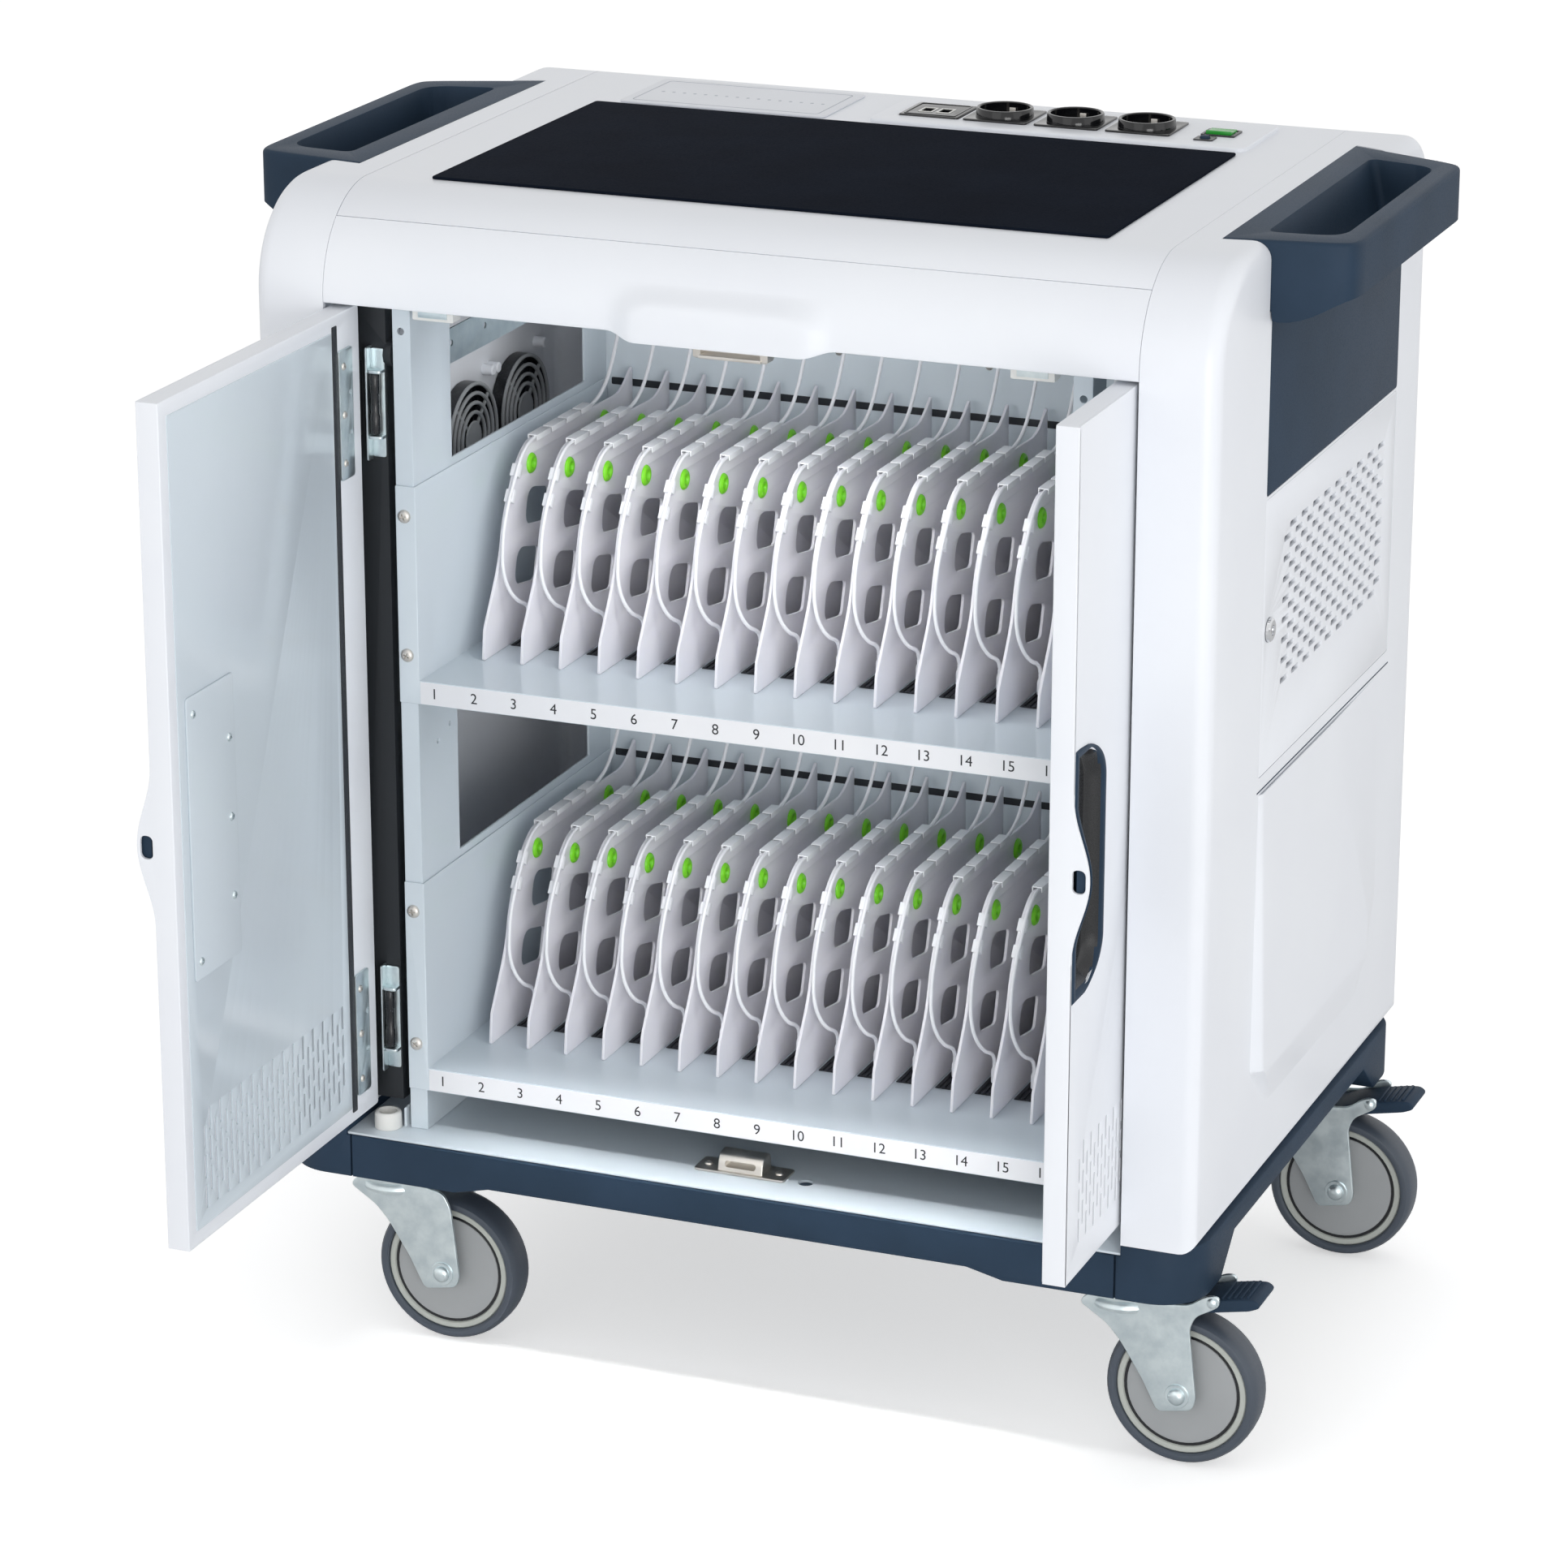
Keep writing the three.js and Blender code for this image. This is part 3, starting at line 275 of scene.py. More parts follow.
# Nitrile rubber of the ribbed strips between the dividers: dark and dull. The same finish makes the dark
# strips down the doors' hinge side and, as painted shade, the cable slots in the rear wall.
dark_rubber_and_shade = moulded("dark_nitrile_rubber_and_shade", "2A2D33", "25282D", 0.5, 1.2, 0.03)
print("finishes in all:", len(bpy.data.materials))

# %% [markdown]
# ## Workshop helpers
# Most of the cart is sheet, cut to an outline and folded, or moulded to a rounded outline. In Blender a
# flat filled curve does the same job: its outlines are the cut, its extrusion the thickness, and its
# bevel the small radius that every real edge has. It becomes a mesh before it is put in place. Round
# pieces are a profile that is spun about its axis, as on a lathe.

# %% helpers for sheets and turned pieces
TURNS = {"x": (pi / 2, 0, pi / 2), "y": (pi / 2, 0, 0), "z": (0, 0, 0)}
SPINS = {"x": (0, pi / 2, 0), "y": (-pi / 2, 0, 0), "z": (0, 0, 0), "-x": (0, -pi / 2, 0),
         "-y": (pi / 2, 0, 0)}
MERGE = 0.00001


def take(piece):
    """Leaves everything else deselected, with this piece selected and active."""
    bpy.ops.object.select_all(action="DESELECT")
    piece.select_set(True)
    bpy.context.view_layer.objects.active = piece
    return piece


def settle(piece, turn, place):
    """Puts a piece in place and applies that, so that its object stays at the origin."""
    take(piece)
    piece.rotation_euler = turn
    piece.location = place
    bpy.ops.object.transform_apply(location=True, rotation=True, scale=True)
    return piece


def merged(piece):
    """Merges double points and turns all faces outwards."""
    take(piece)
    bpy.ops.object.mode_set(mode="EDIT")
    bpy.ops.mesh.select_all(action="SELECT")
    bpy.ops.mesh.remove_doubles(threshold=MERGE)
    bpy.ops.mesh.normals_make_consistent(inside=False)
    bpy.ops.object.mode_set(mode="OBJECT")
    return piece


def drawn(name, lines, flat, closed):
    """A curve object of straight-sided lines through points in millimetres."""
    curve = bpy.data.curves.new(name, "CURVE")
    curve.dimensions = "2D" if flat else "3D"
    for line in lines:
        spline = curve.splines.new("POLY")
        spline.points.add(len(line) - 1)
        for point, spot in zip(spline.points, line):
            point.co = (spot[0] * MM, spot[1] * MM, spot[2] * MM if len(spot) > 2 else 0, 1)
        spline.use_cyclic_u = closed
    piece = bpy.data.objects.new(name, curve)
    bpy.context.collection.objects.link(piece)
    return take(piece)


def cut_sheet(name, outlines, axis, low, high, edge=0.4, rounds=1):
    """A sheet across an axis from low to high: the first outline is its rim, the others are holes."""
    piece = drawn(name, outlines, True, True)
    piece.data.fill_mode = "BOTH"
    piece.data.extrude = ((high - low) / 2 - edge) * MM
    piece.data.bevel_depth = edge * MM
    piece.data.bevel_resolution = rounds
    piece.data.offset = -edge * MM
    bpy.ops.object.convert(target="MESH")
    middle = (low + high) / 2
    settle(piece, TURNS[axis], cabinet(*[middle if axis == a else 0 for a in "xyz"]))
    return merged(piece)


def turned(name, profile, axis, centre, steps=32):
    """A turned piece: profile points of radius and height, spun about an axis through its centre."""
    piece = drawn(name, [[(r, 0, h) for r, h in profile]], False, False)
    bpy.ops.object.convert(target="MESH")
    bpy.ops.object.mode_set(mode="EDIT")
    bpy.ops.mesh.select_all(action="SELECT")
    bpy.ops.mesh.spin(steps=steps, angle=2 * pi, center=(0, 0, 0), axis=(0, 0, 1))
    bpy.ops.object.mode_set(mode="OBJECT")
    settle(piece, SPINS[axis], cabinet(*centre))
    return merged(piece)


def rounded(corners, radius, steps=5):
    """An outline with each corner rounded off; radius is one value, or one for each corner."""
    outline = []
    for i, corner in enumerate(corners):
        reach = radius[i] if isinstance(radius, (list, tuple)) else radius
        here = Vector(corner)
        if reach == 0:
            outline.append(tuple(here))
            continue
        before, after = Vector(corners[i - 1]) - here, Vector(corners[(i + 1) % len(corners)]) - here
        start = here + before.normalized() * min(reach, before.length * 0.49)
        end = here + after.normalized() * min(reach, after.length * 0.49)
        for k in range(steps + 1):
            t = k / steps
            outline.append(tuple(start * (1 - t) ** 2 + here * 2 * t * (1 - t) + end * t * t))
    return outline


def box_line(a0, a1, b0, b1):
    """The four corners of a rectangle."""
    return [(a0, b0), (a1, b0), (a1, b1), (a0, b1)]


def ring(a, b, radius, steps=24):
    """A circle as an outline."""
    return [(a + radius * cos(2 * pi * k / steps), b + radius * sin(2 * pi * k / steps))
            for k in range(steps)]


def obround(a, b, half_a, half_b, steps=4):
    """A slot with round ends, as a punch leaves it."""
    return rounded(box_line(a - half_a, a + half_a, b - half_b, b + half_b), min(half_a, half_b) * 0.98,
                   steps)


def block(name, x0, x1, y0, y1, z0, z1, edge=0.4, rounds=1):
    """A block of material with softened edges."""
    return cut_sheet(name, [box_line(x0, x1, y0, y1)], "z", z0, z1, edge, rounds)


def joined(name, pieces):
    """Several pieces as one object."""
    bpy.ops.object.select_all(action="DESELECT")
    for piece in pieces:
        piece.select_set(True)
    bpy.context.view_layer.objects.active = pieces[0]
    if len(pieces) > 1:
        bpy.ops.object.join()
    pieces[0].name = pieces[0].data.name = name
    return pieces[0]


def copied(piece, name, x=0, y=0, z=0):
    """A copy with a mesh of its own, moved by millimetres."""
    copy = bpy.data.objects.new(name, piece.data.copy())
    bpy.context.collection.objects.link(copy)
    return settle(copy, (0, 0, 0), (x * MM, y * MM, z * MM))


def carve(piece, cutters):
    """Cuts other pieces out of a piece and removes the cutters."""
    for cutter in cutters:
        take(piece)
        cut = piece.modifiers.new("cut", "BOOLEAN")
        cut.operation = "DIFFERENCE"
        cut.solver = "EXACT"
        cut.object = cutter
        bpy.ops.object.modifier_apply(modifier=cut.name)
        bpy.data.objects.remove(cutter)
    return merged(piece)


def thickened(piece, thickness):
    """A wall of so many millimetres behind a skin whose normals point outwards."""
    take(piece)
    skin = piece.modifiers.new("wall", "SOLIDIFY")
    skin.thickness = thickness * MM
    skin.offset = -1
    bpy.ops.object.modifier_apply(modifier=skin.name)
    return piece


def softened(piece, edge, rounds=2, angle=32):
    """Breaks the sharp edges of a piece with a bevel of so many millimetres."""
    take(piece)
    bpy.ops.object.mode_set(mode="EDIT")
    bpy.ops.mesh.select_all(action="SELECT")
    bpy.ops.mesh.dissolve_limited(angle_limit=radians(1))
    bpy.ops.object.mode_set(mode="OBJECT")
    bevel = piece.modifiers.new("edge", "BEVEL")
    bevel.width = edge * MM
    bevel.segments = rounds
    bevel.limit_method = "ANGLE"
    bevel.angle_limit = radians(angle)
    bpy.ops.object.modifier_apply(modifier=bevel.name)
    return piece


def dressed_copy(node, name, edge, rounds=2, angle=32):
    """A copy of a CAD node with its triangles merged and its edges softened."""
    copy = bpy.data.objects.new(name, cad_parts[node].data.copy())
    bpy.context.collection.objects.link(copy)
    copy.data.materials.clear()
    return softened(merged(copy), edge, rounds, angle)


def dress(piece, finish, body="root", stands_for=()):
    """Gives a piece its finish, its body and the CAD nodes it stands for."""
    if not piece.data.materials:
        piece.data.materials.append(finish)
    take(piece)
    bpy.ops.object.shade_smooth_by_angle(angle=radians(34))
    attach(piece, body)
    if stands_for:
        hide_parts(*stands_for)
    return piece


print("pieces can be turned to", ", ".join(SPINS))

# %% [markdown]
# ## The charging leads
# Each slot has its own lead, which drops from an outlet behind the shelf, runs along the top of its
# divider, follows the leaning front edge down, and hangs free with its plug at the end. A lead is a thin
# round cord, so it is a Bezier curve with a round section through the points of its route. The route is
# the one that the solids have, in millimetres from the divider, from the front and from the tray. A lead
# starts at the outlet strip, and its length is measured along its route.

# %% leads
dividers = [-241 + 33 * i for i in range(16)]
trays = {"upper": 568, "lower": 244}
lead_side, last_swing = 3.4, 0.28
lead_route = [(0, 401, 245), (0, 390, 243), (0, 376, 234), (0, 363, 217), (0, 352, 198), (0, 340, 180),
              (0, 325, 166), (0, 306, 159), (0, 280, 157.5), (0, 214, 158), (0, 184, 158), (0, 166, 151),
              (0, 152, 136), (0, 131, 104), (0.4, 125, 84), (2.4, 121, 68), (6.2, 122, 53), (11, 128, 42),
              (15, 136, 36), (16, 139, 28)]
lead_radius = 1.6


def routed(x, floor):
    """The points of a lead beside its divider; the last one has less room and swings out less."""
    swing = last_swing if x == dividers[-1] else 1
    return [cabinet(x + lead_side + right * swing, y, floor + height) for right, y, height in lead_route]


def lead(name, points):
    """One charging lead as a round cord along its route."""
    curve = bpy.data.curves.new(name, "CURVE")
    curve.dimensions = "3D"
    curve.bevel_depth = lead_radius * MM
    curve.bevel_resolution = 2
    curve.resolution_u = 4
    curve.use_fill_caps = True
    spline = curve.splines.new("BEZIER")
    spline.bezier_points.add(len(points) - 1)
    for point, spot in zip(spline.bezier_points, points):
        point.co = spot
        point.handle_left_type = point.handle_right_type = "AUTO"
    piece = bpy.data.objects.new(name, curve)
    bpy.context.collection.objects.link(piece)
    bpy.context.view_layer.update()
    return piece


plug_profile = [(0, -22), (1.4, -22), (1.7, -21.2), (1.7, -17), (2.8, -16), (3.0, -15), (3.0, -6),
                (2.6, -4.5), (2.0, -3.5), (2.0, 0.4), (0, 0.4)]
for shelf, floor in trays.items():
    for number, x in enumerate(dividers, 1):
        points = routed(x, floor)
        plug = turned(f"{shelf}_plug_{number}", plug_profile, "z", (0, 0, 0), 12)
        settle(plug, (0, 0, 0), points[-1] - cabinet(0, 0, 0))
        dress(plug, white_vinyl_and_painted_light)
        cord = lead(f"{shelf}_lead_{number}", points)
        cord.data.materials.append(white_vinyl_and_painted_light)
        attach(cord, "root")
        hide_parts(f"{shelf}_charging_leads")
    strip = block(f"{shelf}_outlet_strip", -259, 259, 400.3, 406.3, floor + 233, floor + 257, 0.8, 2)
    dress(strip, white_vinyl_and_painted_light, stands_for=[f"{shelf}_charging_leads"])
print("the last lead is", round(cord.data.splines[0].calc_length(), 3), "m long")

# %% [markdown]
# ## The outer shell
# Two deep cheeks close the sides. Each is a pressing whose outline has a large round at the front of the
# top and a smaller one at the back, with a soft shoulder all round its outer face. A flat curve with
# that shoulder as its bevel gives it; the half that would lie inside the cart is cut away by a plane,
# and Solidify gives the skin its wall. The seats of the handle, its plate and the vent are then cut out.

# %% cheeks
body_top, body_depth, cheek_foot = 953, 557, 197.3
front_curve, rear_curve, shoulder, wall = 80, 40, 14, 4


def arc(y, z, radius, start, end, steps):
    """Points on a circle in the side view, from one angle in degrees to another."""
    return [(y + radius * cos(radians(start + (end - start) * k / steps)),
             z + radius * sin(radians(start + (end - start) * k / steps))) for k in range(steps + 1)]


def mirrored(outline, side):
    """A plan outline on the right or left side of the cart."""
    return [(a * side, b) for a, b in outline]


def span(side, near, far):
    """Two distances from the cart's middle as the low and high end on one side of it."""
    return sorted((near * side, far * side))


def cheek(side):
    """A cheek's skin, with its wall and without its seats yet."""
    outline = [(0, cheek_foot), *arc(front_curve, body_top - front_curve, front_curve, 180, 90, 28),
               *arc(body_depth - rear_curve, body_top - rear_curve, rear_curve, 90, 0, 16),
               (body_depth, cheek_foot)]
    piece = cut_sheet("cheek", [outline], "x", *span(side, 250, 386), shoulder, 6)
    bpy.ops.object.mode_set(mode="EDIT")
    bpy.ops.mesh.select_all(action="SELECT")
    bpy.ops.mesh.dissolve_limited(angle_limit=radians(0.5))
    bpy.ops.mesh.select_all(action="SELECT")
    bpy.ops.mesh.bisect(plane_co=cabinet(326.2 * side, 0, 0), plane_no=(side, 0, 0), clear_inner=True)
    bpy.ops.object.mode_set(mode="OBJECT")
    return thickened(piece, wall)


handle_plan = [(350, 116), (438, 130), (448, 140), (448, 422), (438, 432), (350, 468)]
handle_corners = [0, 14, 14, 14, 14, 0]
vent_line = rounded(box_line(128, 480, 538, 755), 3, 3)
plate_line = rounded(box_line(128, 480, 758, 901), 3, 3)


def grown(outline, by):
    """An outline pushed outwards from its middle, as a clearance."""
    a = (min(p[0] for p in outline) + max(p[0] for p in outline)) / 2
    b = (min(p[1] for p in outline) + max(p[1] for p in outline)) / 2
    return [(p[0] + (by if p[0] > a else -by), p[1] + (by if p[1] > b else -by)) for p in outline]


for side, name in ((1, "right"), (-1, "left")):
    shell = cheek(side)
    seat = rounded(handle_plan, handle_corners, 6)
    cutters = [cut_sheet("handle_seat", [mirrored(grown(seat, 0.4), side)], "z", 899.7, 960, 0),
               cut_sheet("plate_seat", [grown(plate_line, 0.4)], "x", *span(side, 383.7, 395), 0)]
    if side > 0:
        cutters.append(cut_sheet("vent_seat", [grown(vent_line, 0.4)], "x", 376, 395, 0))
    carve(shell, cutters)
    shell.name = f"{name}_cheek"
    dress(shell, white_coat, stands_for=[f"{name}_side_panel"])
    print(shell.name, len(shell.data.polygons), "faces")

# %% [markdown]
# ## Work top and fascia
# Between the cheeks lie the top cover and, below a fine seam on the front round, the fascia. Both follow
# the same side profile, so each is drawn as a thin section in the side view and given the width of the
# opening. The fascia has a soft pressed bulge in its middle, two hands wide, that clears the lock: a grid
# of points is laid along the section, and the bulge lifts it as a smooth hump.

# %% top cover
half_opening = 325.8
seam_angle = 180 - 48
top_line = [*arc(front_curve, body_top - front_curve, front_curve, seam_angle - 0.25, 90, 14),
            *arc(body_depth - rear_curve, body_top - rear_curve, rear_curve, 90, 0, 14), (body_depth, 873)]
inner_line = [(body_depth - wall, 873),
              *arc(body_depth - rear_curve, body_top - rear_curve, rear_curve - wall, 0, 90, 14),
              *arc(front_curve, body_top - front_curve, front_curve - wall, 90, seam_angle - 0.25, 14)]
top = cut_sheet("work_top", [top_line + inner_line], "x", -half_opening, half_opening, 0.5, 2)
carve(top, [block("island_hole", -30, 266, 418, 496, 940, 960, 0)])
dress(top, white_coat, stands_for=["top_cover"])
print("work top", len(top.data.polygons), "faces")

# %% fascia
bulge_half, bulge_high, bulge_depth, bulge_drop = 92, 908, 8, 6


def share(value, start, end):
    """How far a value has come from start to end, between 0 and 1."""
    return min(max((value - start) / (end - start), 0), 1)


def smooth(value, start, end):
    """0 before start, 1 after end, and a soft S between them."""
    t = share(value, start, end)
    return t * t * (3 - 2 * t)


def draped(name, columns, rows, place):
    """A grid of points, each put where place says for its shares across and along."""
    bpy.ops.object.select_all(action="DESELECT")
    bpy.ops.mesh.primitive_grid_add(x_subdivisions=columns, y_subdivisions=rows, size=1)
    piece = bpy.context.object
    piece.name = piece.data.name = name
    for point in piece.data.vertices:
        point.co = cabinet(*place(point.co.x + 0.5, point.co.y + 0.5))
    return merged(piece)


fascia_line = [*arc(front_curve, body_top - front_curve, front_curve, seam_angle + 0.25, 180, 14),
               (0, 871.5), (0.5, 870.4), (1.6, 870), (18, 870), (34, 870)]
lengths = [0]
for start, end in zip(fascia_line, fascia_line[1:]):
    lengths.append(lengths[-1] + (Vector(end) - Vector(start)).length)


def along(line, part):
    """The point at a part of a line's length."""
    reach = part * lengths[-1]
    for (start, end), near, far in zip(zip(line, line[1:]), lengths, lengths[1:]):
        if reach <= far + 1e-6:
            return Vector(start).lerp(Vector(end), (reach - near) / (far - near))
    return Vector(line[-1])


def fascia_point(across, part):
    """The fascia's skin: the section along the cart, lifted where the bulge is."""
    x = -half_opening + 2 * half_opening * across
    y, z = along(fascia_line, part)
    hump = 1 - smooth(abs(x), bulge_half - 26, bulge_half)
    on_face = 1 - smooth(z, bulge_high - 16 - 14 * smooth(abs(x), 50, bulge_half), bulge_high)
    if y < 34:
        depth = 1 - smooth(y, 0, 34)
        z -= bulge_drop * hump * (1 - smooth(z, 870, 886)) * (1 - smooth(y, 0.4, 2.4))
        y -= bulge_depth * hump * on_face * depth
    return x, y, z


fascia = draped("fascia", 150, 64, fascia_point)
if fascia.data.polygons[0].normal.z < 0 and fascia.data.polygons[0].normal.y > 0:
    fascia.data.flip_normals()
thickened(fascia, 1.6)
dress(fascia, white_coat, stands_for=["front_fascia"])
print("fascia", len(fascia.data.polygons), "faces, front at",
      round(min(v.co.y for v in fascia.data.vertices), 4))

# %% [markdown]
# ## Base, floor pan and back
# The base is a moulded slate skirt with chamfered underside and rounded corners, in three lengths that
# meet in fine joints in line with the cheeks. The floor pan and the back are plain folded sheet. Their
# solids have these shapes already, so copies of them get softened edges, and the joints are cut in.

# %% base and sheet
skirt = dressed_copy("base_skirt", "base_skirt_moulding", 1.2, 2)
joints = [block("joint", x - 0.9, x + 0.9, -0.5, 3, 120, 260, 0) for x in (-322, 322)]
carve(skirt, joints)
dress(skirt, slate_abs, stands_for=["base_skirt"])
pan = dressed_copy("floor_pan", "floor_pan_sheet", 0.5)
hole_x = 54
carve(pan, [turned("pan_hole", [(0, -6), (6, -6), (6, 6), (0, 6)], "z", (hole_x, 40, 190), 20)])
dress(pan, grey_coat, stands_for=["floor_pan"])
back = dressed_copy("back_panel", "back_sheet", 0.8)
dress(back, white_coat, stands_for=["back_panel"])
print("base, floor pan and back dressed")

# %% [markdown]
# ## Screws
# The same pan-head screws hold frames, locks and strikes: a low dome with a cross recess. One is turned,
# its recess is cut with two small blocks, and copies are turned to the face that they sit on.

# %% screws
screw_profile = [(0, 2.3), (1.6, 2.2), (2.9, 1.8), (3.7, 1.1), (4.0, 0.3), (4.0, 0), (0, 0)]
screw = turned("screw", screw_profile, "z", (0, 0, 0), 16)
carve(screw, [block("recess_a", -1.9, 1.9, -0.35, 0.35, 1.0, 3, 0),
              block("recess_b", -0.35, 0.35, -1.9, 1.9, 1.0, 3, 0)])
settle(screw, (0, 0, 0), -cabinet(0, 0, 0))


def screwed(name, facing, places, size=1.0):
    """Screws on a face: one copy for each place, each with its own turn of the recess."""
    screws = []
    for index, place in enumerate(places):
        copy = bpy.data.objects.new(name, screw.data.copy())
        bpy.context.collection.objects.link(copy)
        copy.scale = (size, size, size)
        settle(copy, (0, 0, index * 0.7 + 0.4), (0, 0, 0))
        screws.append(settle(copy, SPINS[facing], cabinet(*place)))
    return joined(name, screws)


print("screw of", len(screw.data.polygons), "faces")

# %% [markdown]
# ## Inner frames and shelves
# Behind the opening stand two posts of folded sheet that carry the trays. The trays have a front strip
# for the numbers and a high guard at each end. All of it wears the glossy grey coat, and the solids
# give the shapes; the posts get their punched holes, their windows and nickel screws.

# %% frames, shelves and rear wall
for name in ("left_inner_frame", "right_inner_frame"):
    piece = dressed_copy(name, f"{name}_sheet", 0.4, 1)
    side = -1 if name.startswith("left") else 1
    punches = [turned("punch", [(0, -9), (2.2, -9), (2.2, 9), (0, 9)], "x", (268 * side, y, z), 12)
               for y, z in ((60, 706), (84, 714), (62, 508), (84, 516), (70, 856))]
    punches.append(turned("punch", [(0, -9), (3, -9), (3, 9), (0, 9)], "y", (275 * side, 29, 846), 16))
    punches.append(cut_sheet("window", [rounded(box_line(98.3, 354, 780, 861), 2, 2)], "x",
                             *span(side, 262, 276), 0))
    carve(piece, punches)
    dress(piece, grey_coat, stands_for=[name])
for shelf in trays:
    piece = dressed_copy(f"{shelf}_shelf", f"{shelf}_tray", 0.4, 1)
    dress(piece, grey_coat, stands_for=[f"{shelf}_shelf"])
rear = dressed_copy("rear_cable_wall", "rear_cable_sheet", 0.4, 1)
dress(rear, grey_coat, stands_for=["rear_cable_wall"])
post_screws = screwed("post_screws", "-y",
                      [(x, 26.5, z) for x in (-274.5, 274.5) for z in (700, 588, 376, 264)], 1.35)
dress(post_screws, nickel)
# Each cable slot in the rear wall is a thin dark sheet on its face: painted shade for the dark inside of
# the slot.
for shelf, floor in trays.items():
    line = rounded(box_line(-262, 262, floor + 150, floor + 156), 1, 2)
    dress(cut_sheet(f"{shelf}_cable_slot_shade", [line], "y", 397.4, 398.1, 0.1), dark_rubber_and_shade)
rear_screws = screwed("rear_screws", "-y", [(x, 398, floor + 196) for x in (-190, -60, 70, 200)
                                            for floor in trays.values()], 0.8)
dress(rear_screws, nickel)
print("frames and trays dressed")

# %% [markdown]
# ## Dividers
# Sixteen thin blades stand on each tray. A blade leans back at its front, has a round shoulder, and two
# leaning windows that save plastic. A bright green grommet sits in its upper front corner, and another
# near the back; two white sleeves and a channel hold the lead to the edges. The blade is cut once, its
# fittings are made once beside it, and copies fill the trays.

# %% blade
blade_line = rounded([(93, 0), (390, 0), (390, 170), (366, 152), (206, 157), (182, 158), (167, 150),
                      (155, 138), (134, 105), (126, 72), (96, 25)],
                     [2, 2, 4, 14, 8, 8, 8, 8, 16, 18, 3], 4)
window_low = [(151, 46), (191, 40), (199, 66), (159, 76)]
windows = [rounded([(y + dy, z + dz) for y, z in window_low], [12, 5, 5, 14], 5)
           for dy, dz in ((0, 0), (22, 44))]
grommets = [(186, 138), (330, 138)]


def blade(floor):
    """A blade at the middle of the cart, with its lower edge on a tray."""
    lines = [blade_line, *windows, *[ring(y, z, 6.2) for y, z in grommets]]
    lifted = [[(y, z + floor + 0.1) for y, z in line] for line in lines]
    return cut_sheet("blade", lifted, "x", -1.2, 1.2, 0.35, 1)


grommet_profile = [(0, 0.5), (3.2, 0.6), (3.5, 2.6), (4.2, 3.6), (5.6, 4.0), (7.2, 3.4), (8.2, 2.2),
                   (8.4, 1.3), (6.3, 1.3), (6.3, -1.3), (8.4, -1.3), (8.2, -2.2), (7.2, -3.4),
                   (5.6, -4.0), (4.2, -3.6), (3.5, -2.6), (3.2, -0.6), (0, -0.5)]


def clip(name, y, z, lean):
    """A lead clip: a thin saddle over the blade's edge that bends round the lead beside it."""
    outline = rounded([(-2.2, -4.5), (-1.4, -4.5), (-1.4, 0.6), (1.4, 0.6), (1.4, -4.5), (5.2, -4.5),
                       (5.7, -1.6), (5.2, 1.6), (2.0, 1.9), (-2.2, 1.5)], 0.6, 3)
    piece = cut_sheet(name, [outline], "y", -5.2, 5.2, 0.3, 1)
    settle(piece, (0, 0, 0), -cabinet(0, 0, 0))
    return settle(piece, (lean, 0, 0), cabinet(0, y, z))


def channel(name, start, end, floor):
    """A length of the channel on the blade's upper edge, open below, that the lead is pressed into."""
    outline = [(-2.1, 153.5), (-1.3, 153.5), (-1.3, 160), (5.7, 160), (5.7, 156.4), (6.4, 156.4),
               (6.4, 160.9), (-2.1, 160.9)]
    return cut_sheet(name, [[(a, b + floor) for a, b in outline]], "y", start, end, 0.25, 1)


clip_places = [(156.5, 139.5, 0.95), (144.6, 121.6, 1.0)]
channel_places = [(188, 214), (217, 243), (246, 272), (275, 296)]
for shelf, floor in trays.items():
    first_blade = blade(floor)
    first_rings = joined("rings", [turned("grommet", grommet_profile, "x", (0, y, floor + z), 20)
                                   for y, z in grommets])
    sleeves = [clip("clip", y, floor + z, lean) for y, z, lean in clip_places]
    channels = [channel("channel", start, end, floor) for start, end in channel_places]
    first_clips = joined("clips", sleeves + channels)
    rack = {"divider": [f"{shelf}_divider_rack"]}
    for pattern, label, finish, slot in ((first_blade, "divider", milky_pp, "divider_plastic"),
                                         (first_rings, "grommets", green_rubber, "green_plastic"),
                                         (first_clips, "clips", white_vinyl_and_painted_light, "lead_plastic")):
        for number, x in enumerate(dividers, 1):
            copy = copied(pattern, f"{shelf}_{label}_{number}", x)
            dress(copy, finish, stands_for=rack.get(label, ()))
        bpy.data.objects.remove(pattern)
print("dividers:", 2 * len(dividers))

# %% [markdown]
# ## Tray fittings
# Between the blades lie dark ribbed rubber strips that keep tablets from sliding. The strips in front
# carry plain slot numbers, silk screened in dark ink, which are text turned into thin mesh.

# %% ribs and numbers
for shelf, floor in trays.items():
    ribs = []
    for x in dividers[:-1]:
        ribs.append(block("rib_base", x + 3, x + 30, 138, 386, floor + 0.1, floor + 0.9, 0.2))
        for k in range(6):
            ribs.append(block("rib", x + 4.4 + 4.4 * k, x + 6.8 + 4.4 * k, 138, 386, floor + 0.8,
                              floor + 1.9, 0.3))
    dress(joined(f"{shelf}_rubber_ribs", ribs), dark_rubber_and_shade)
ink = moulded("dark_screen_ink", "1E2026", "1A1C22", 0.5, 0.8, 0.004)


def number_text(name, words, x, z, size, y):
    """A printed figure on a face that looks to the front, as a thin mesh."""
    bpy.ops.object.select_all(action="DESELECT")
    bpy.ops.object.text_add()
    piece = bpy.context.object
    piece.name = name
    piece.data.body = words
    piece.data.size = size * MM
    piece.data.align_x = "CENTER"
    piece.data.align_y = "CENTER"
    piece.data.extrude = 0.04 * MM
    bpy.ops.object.convert(target="MESH")
    settle(piece, TURNS["y"], cabinet(x, y, z))
    return merged(piece)


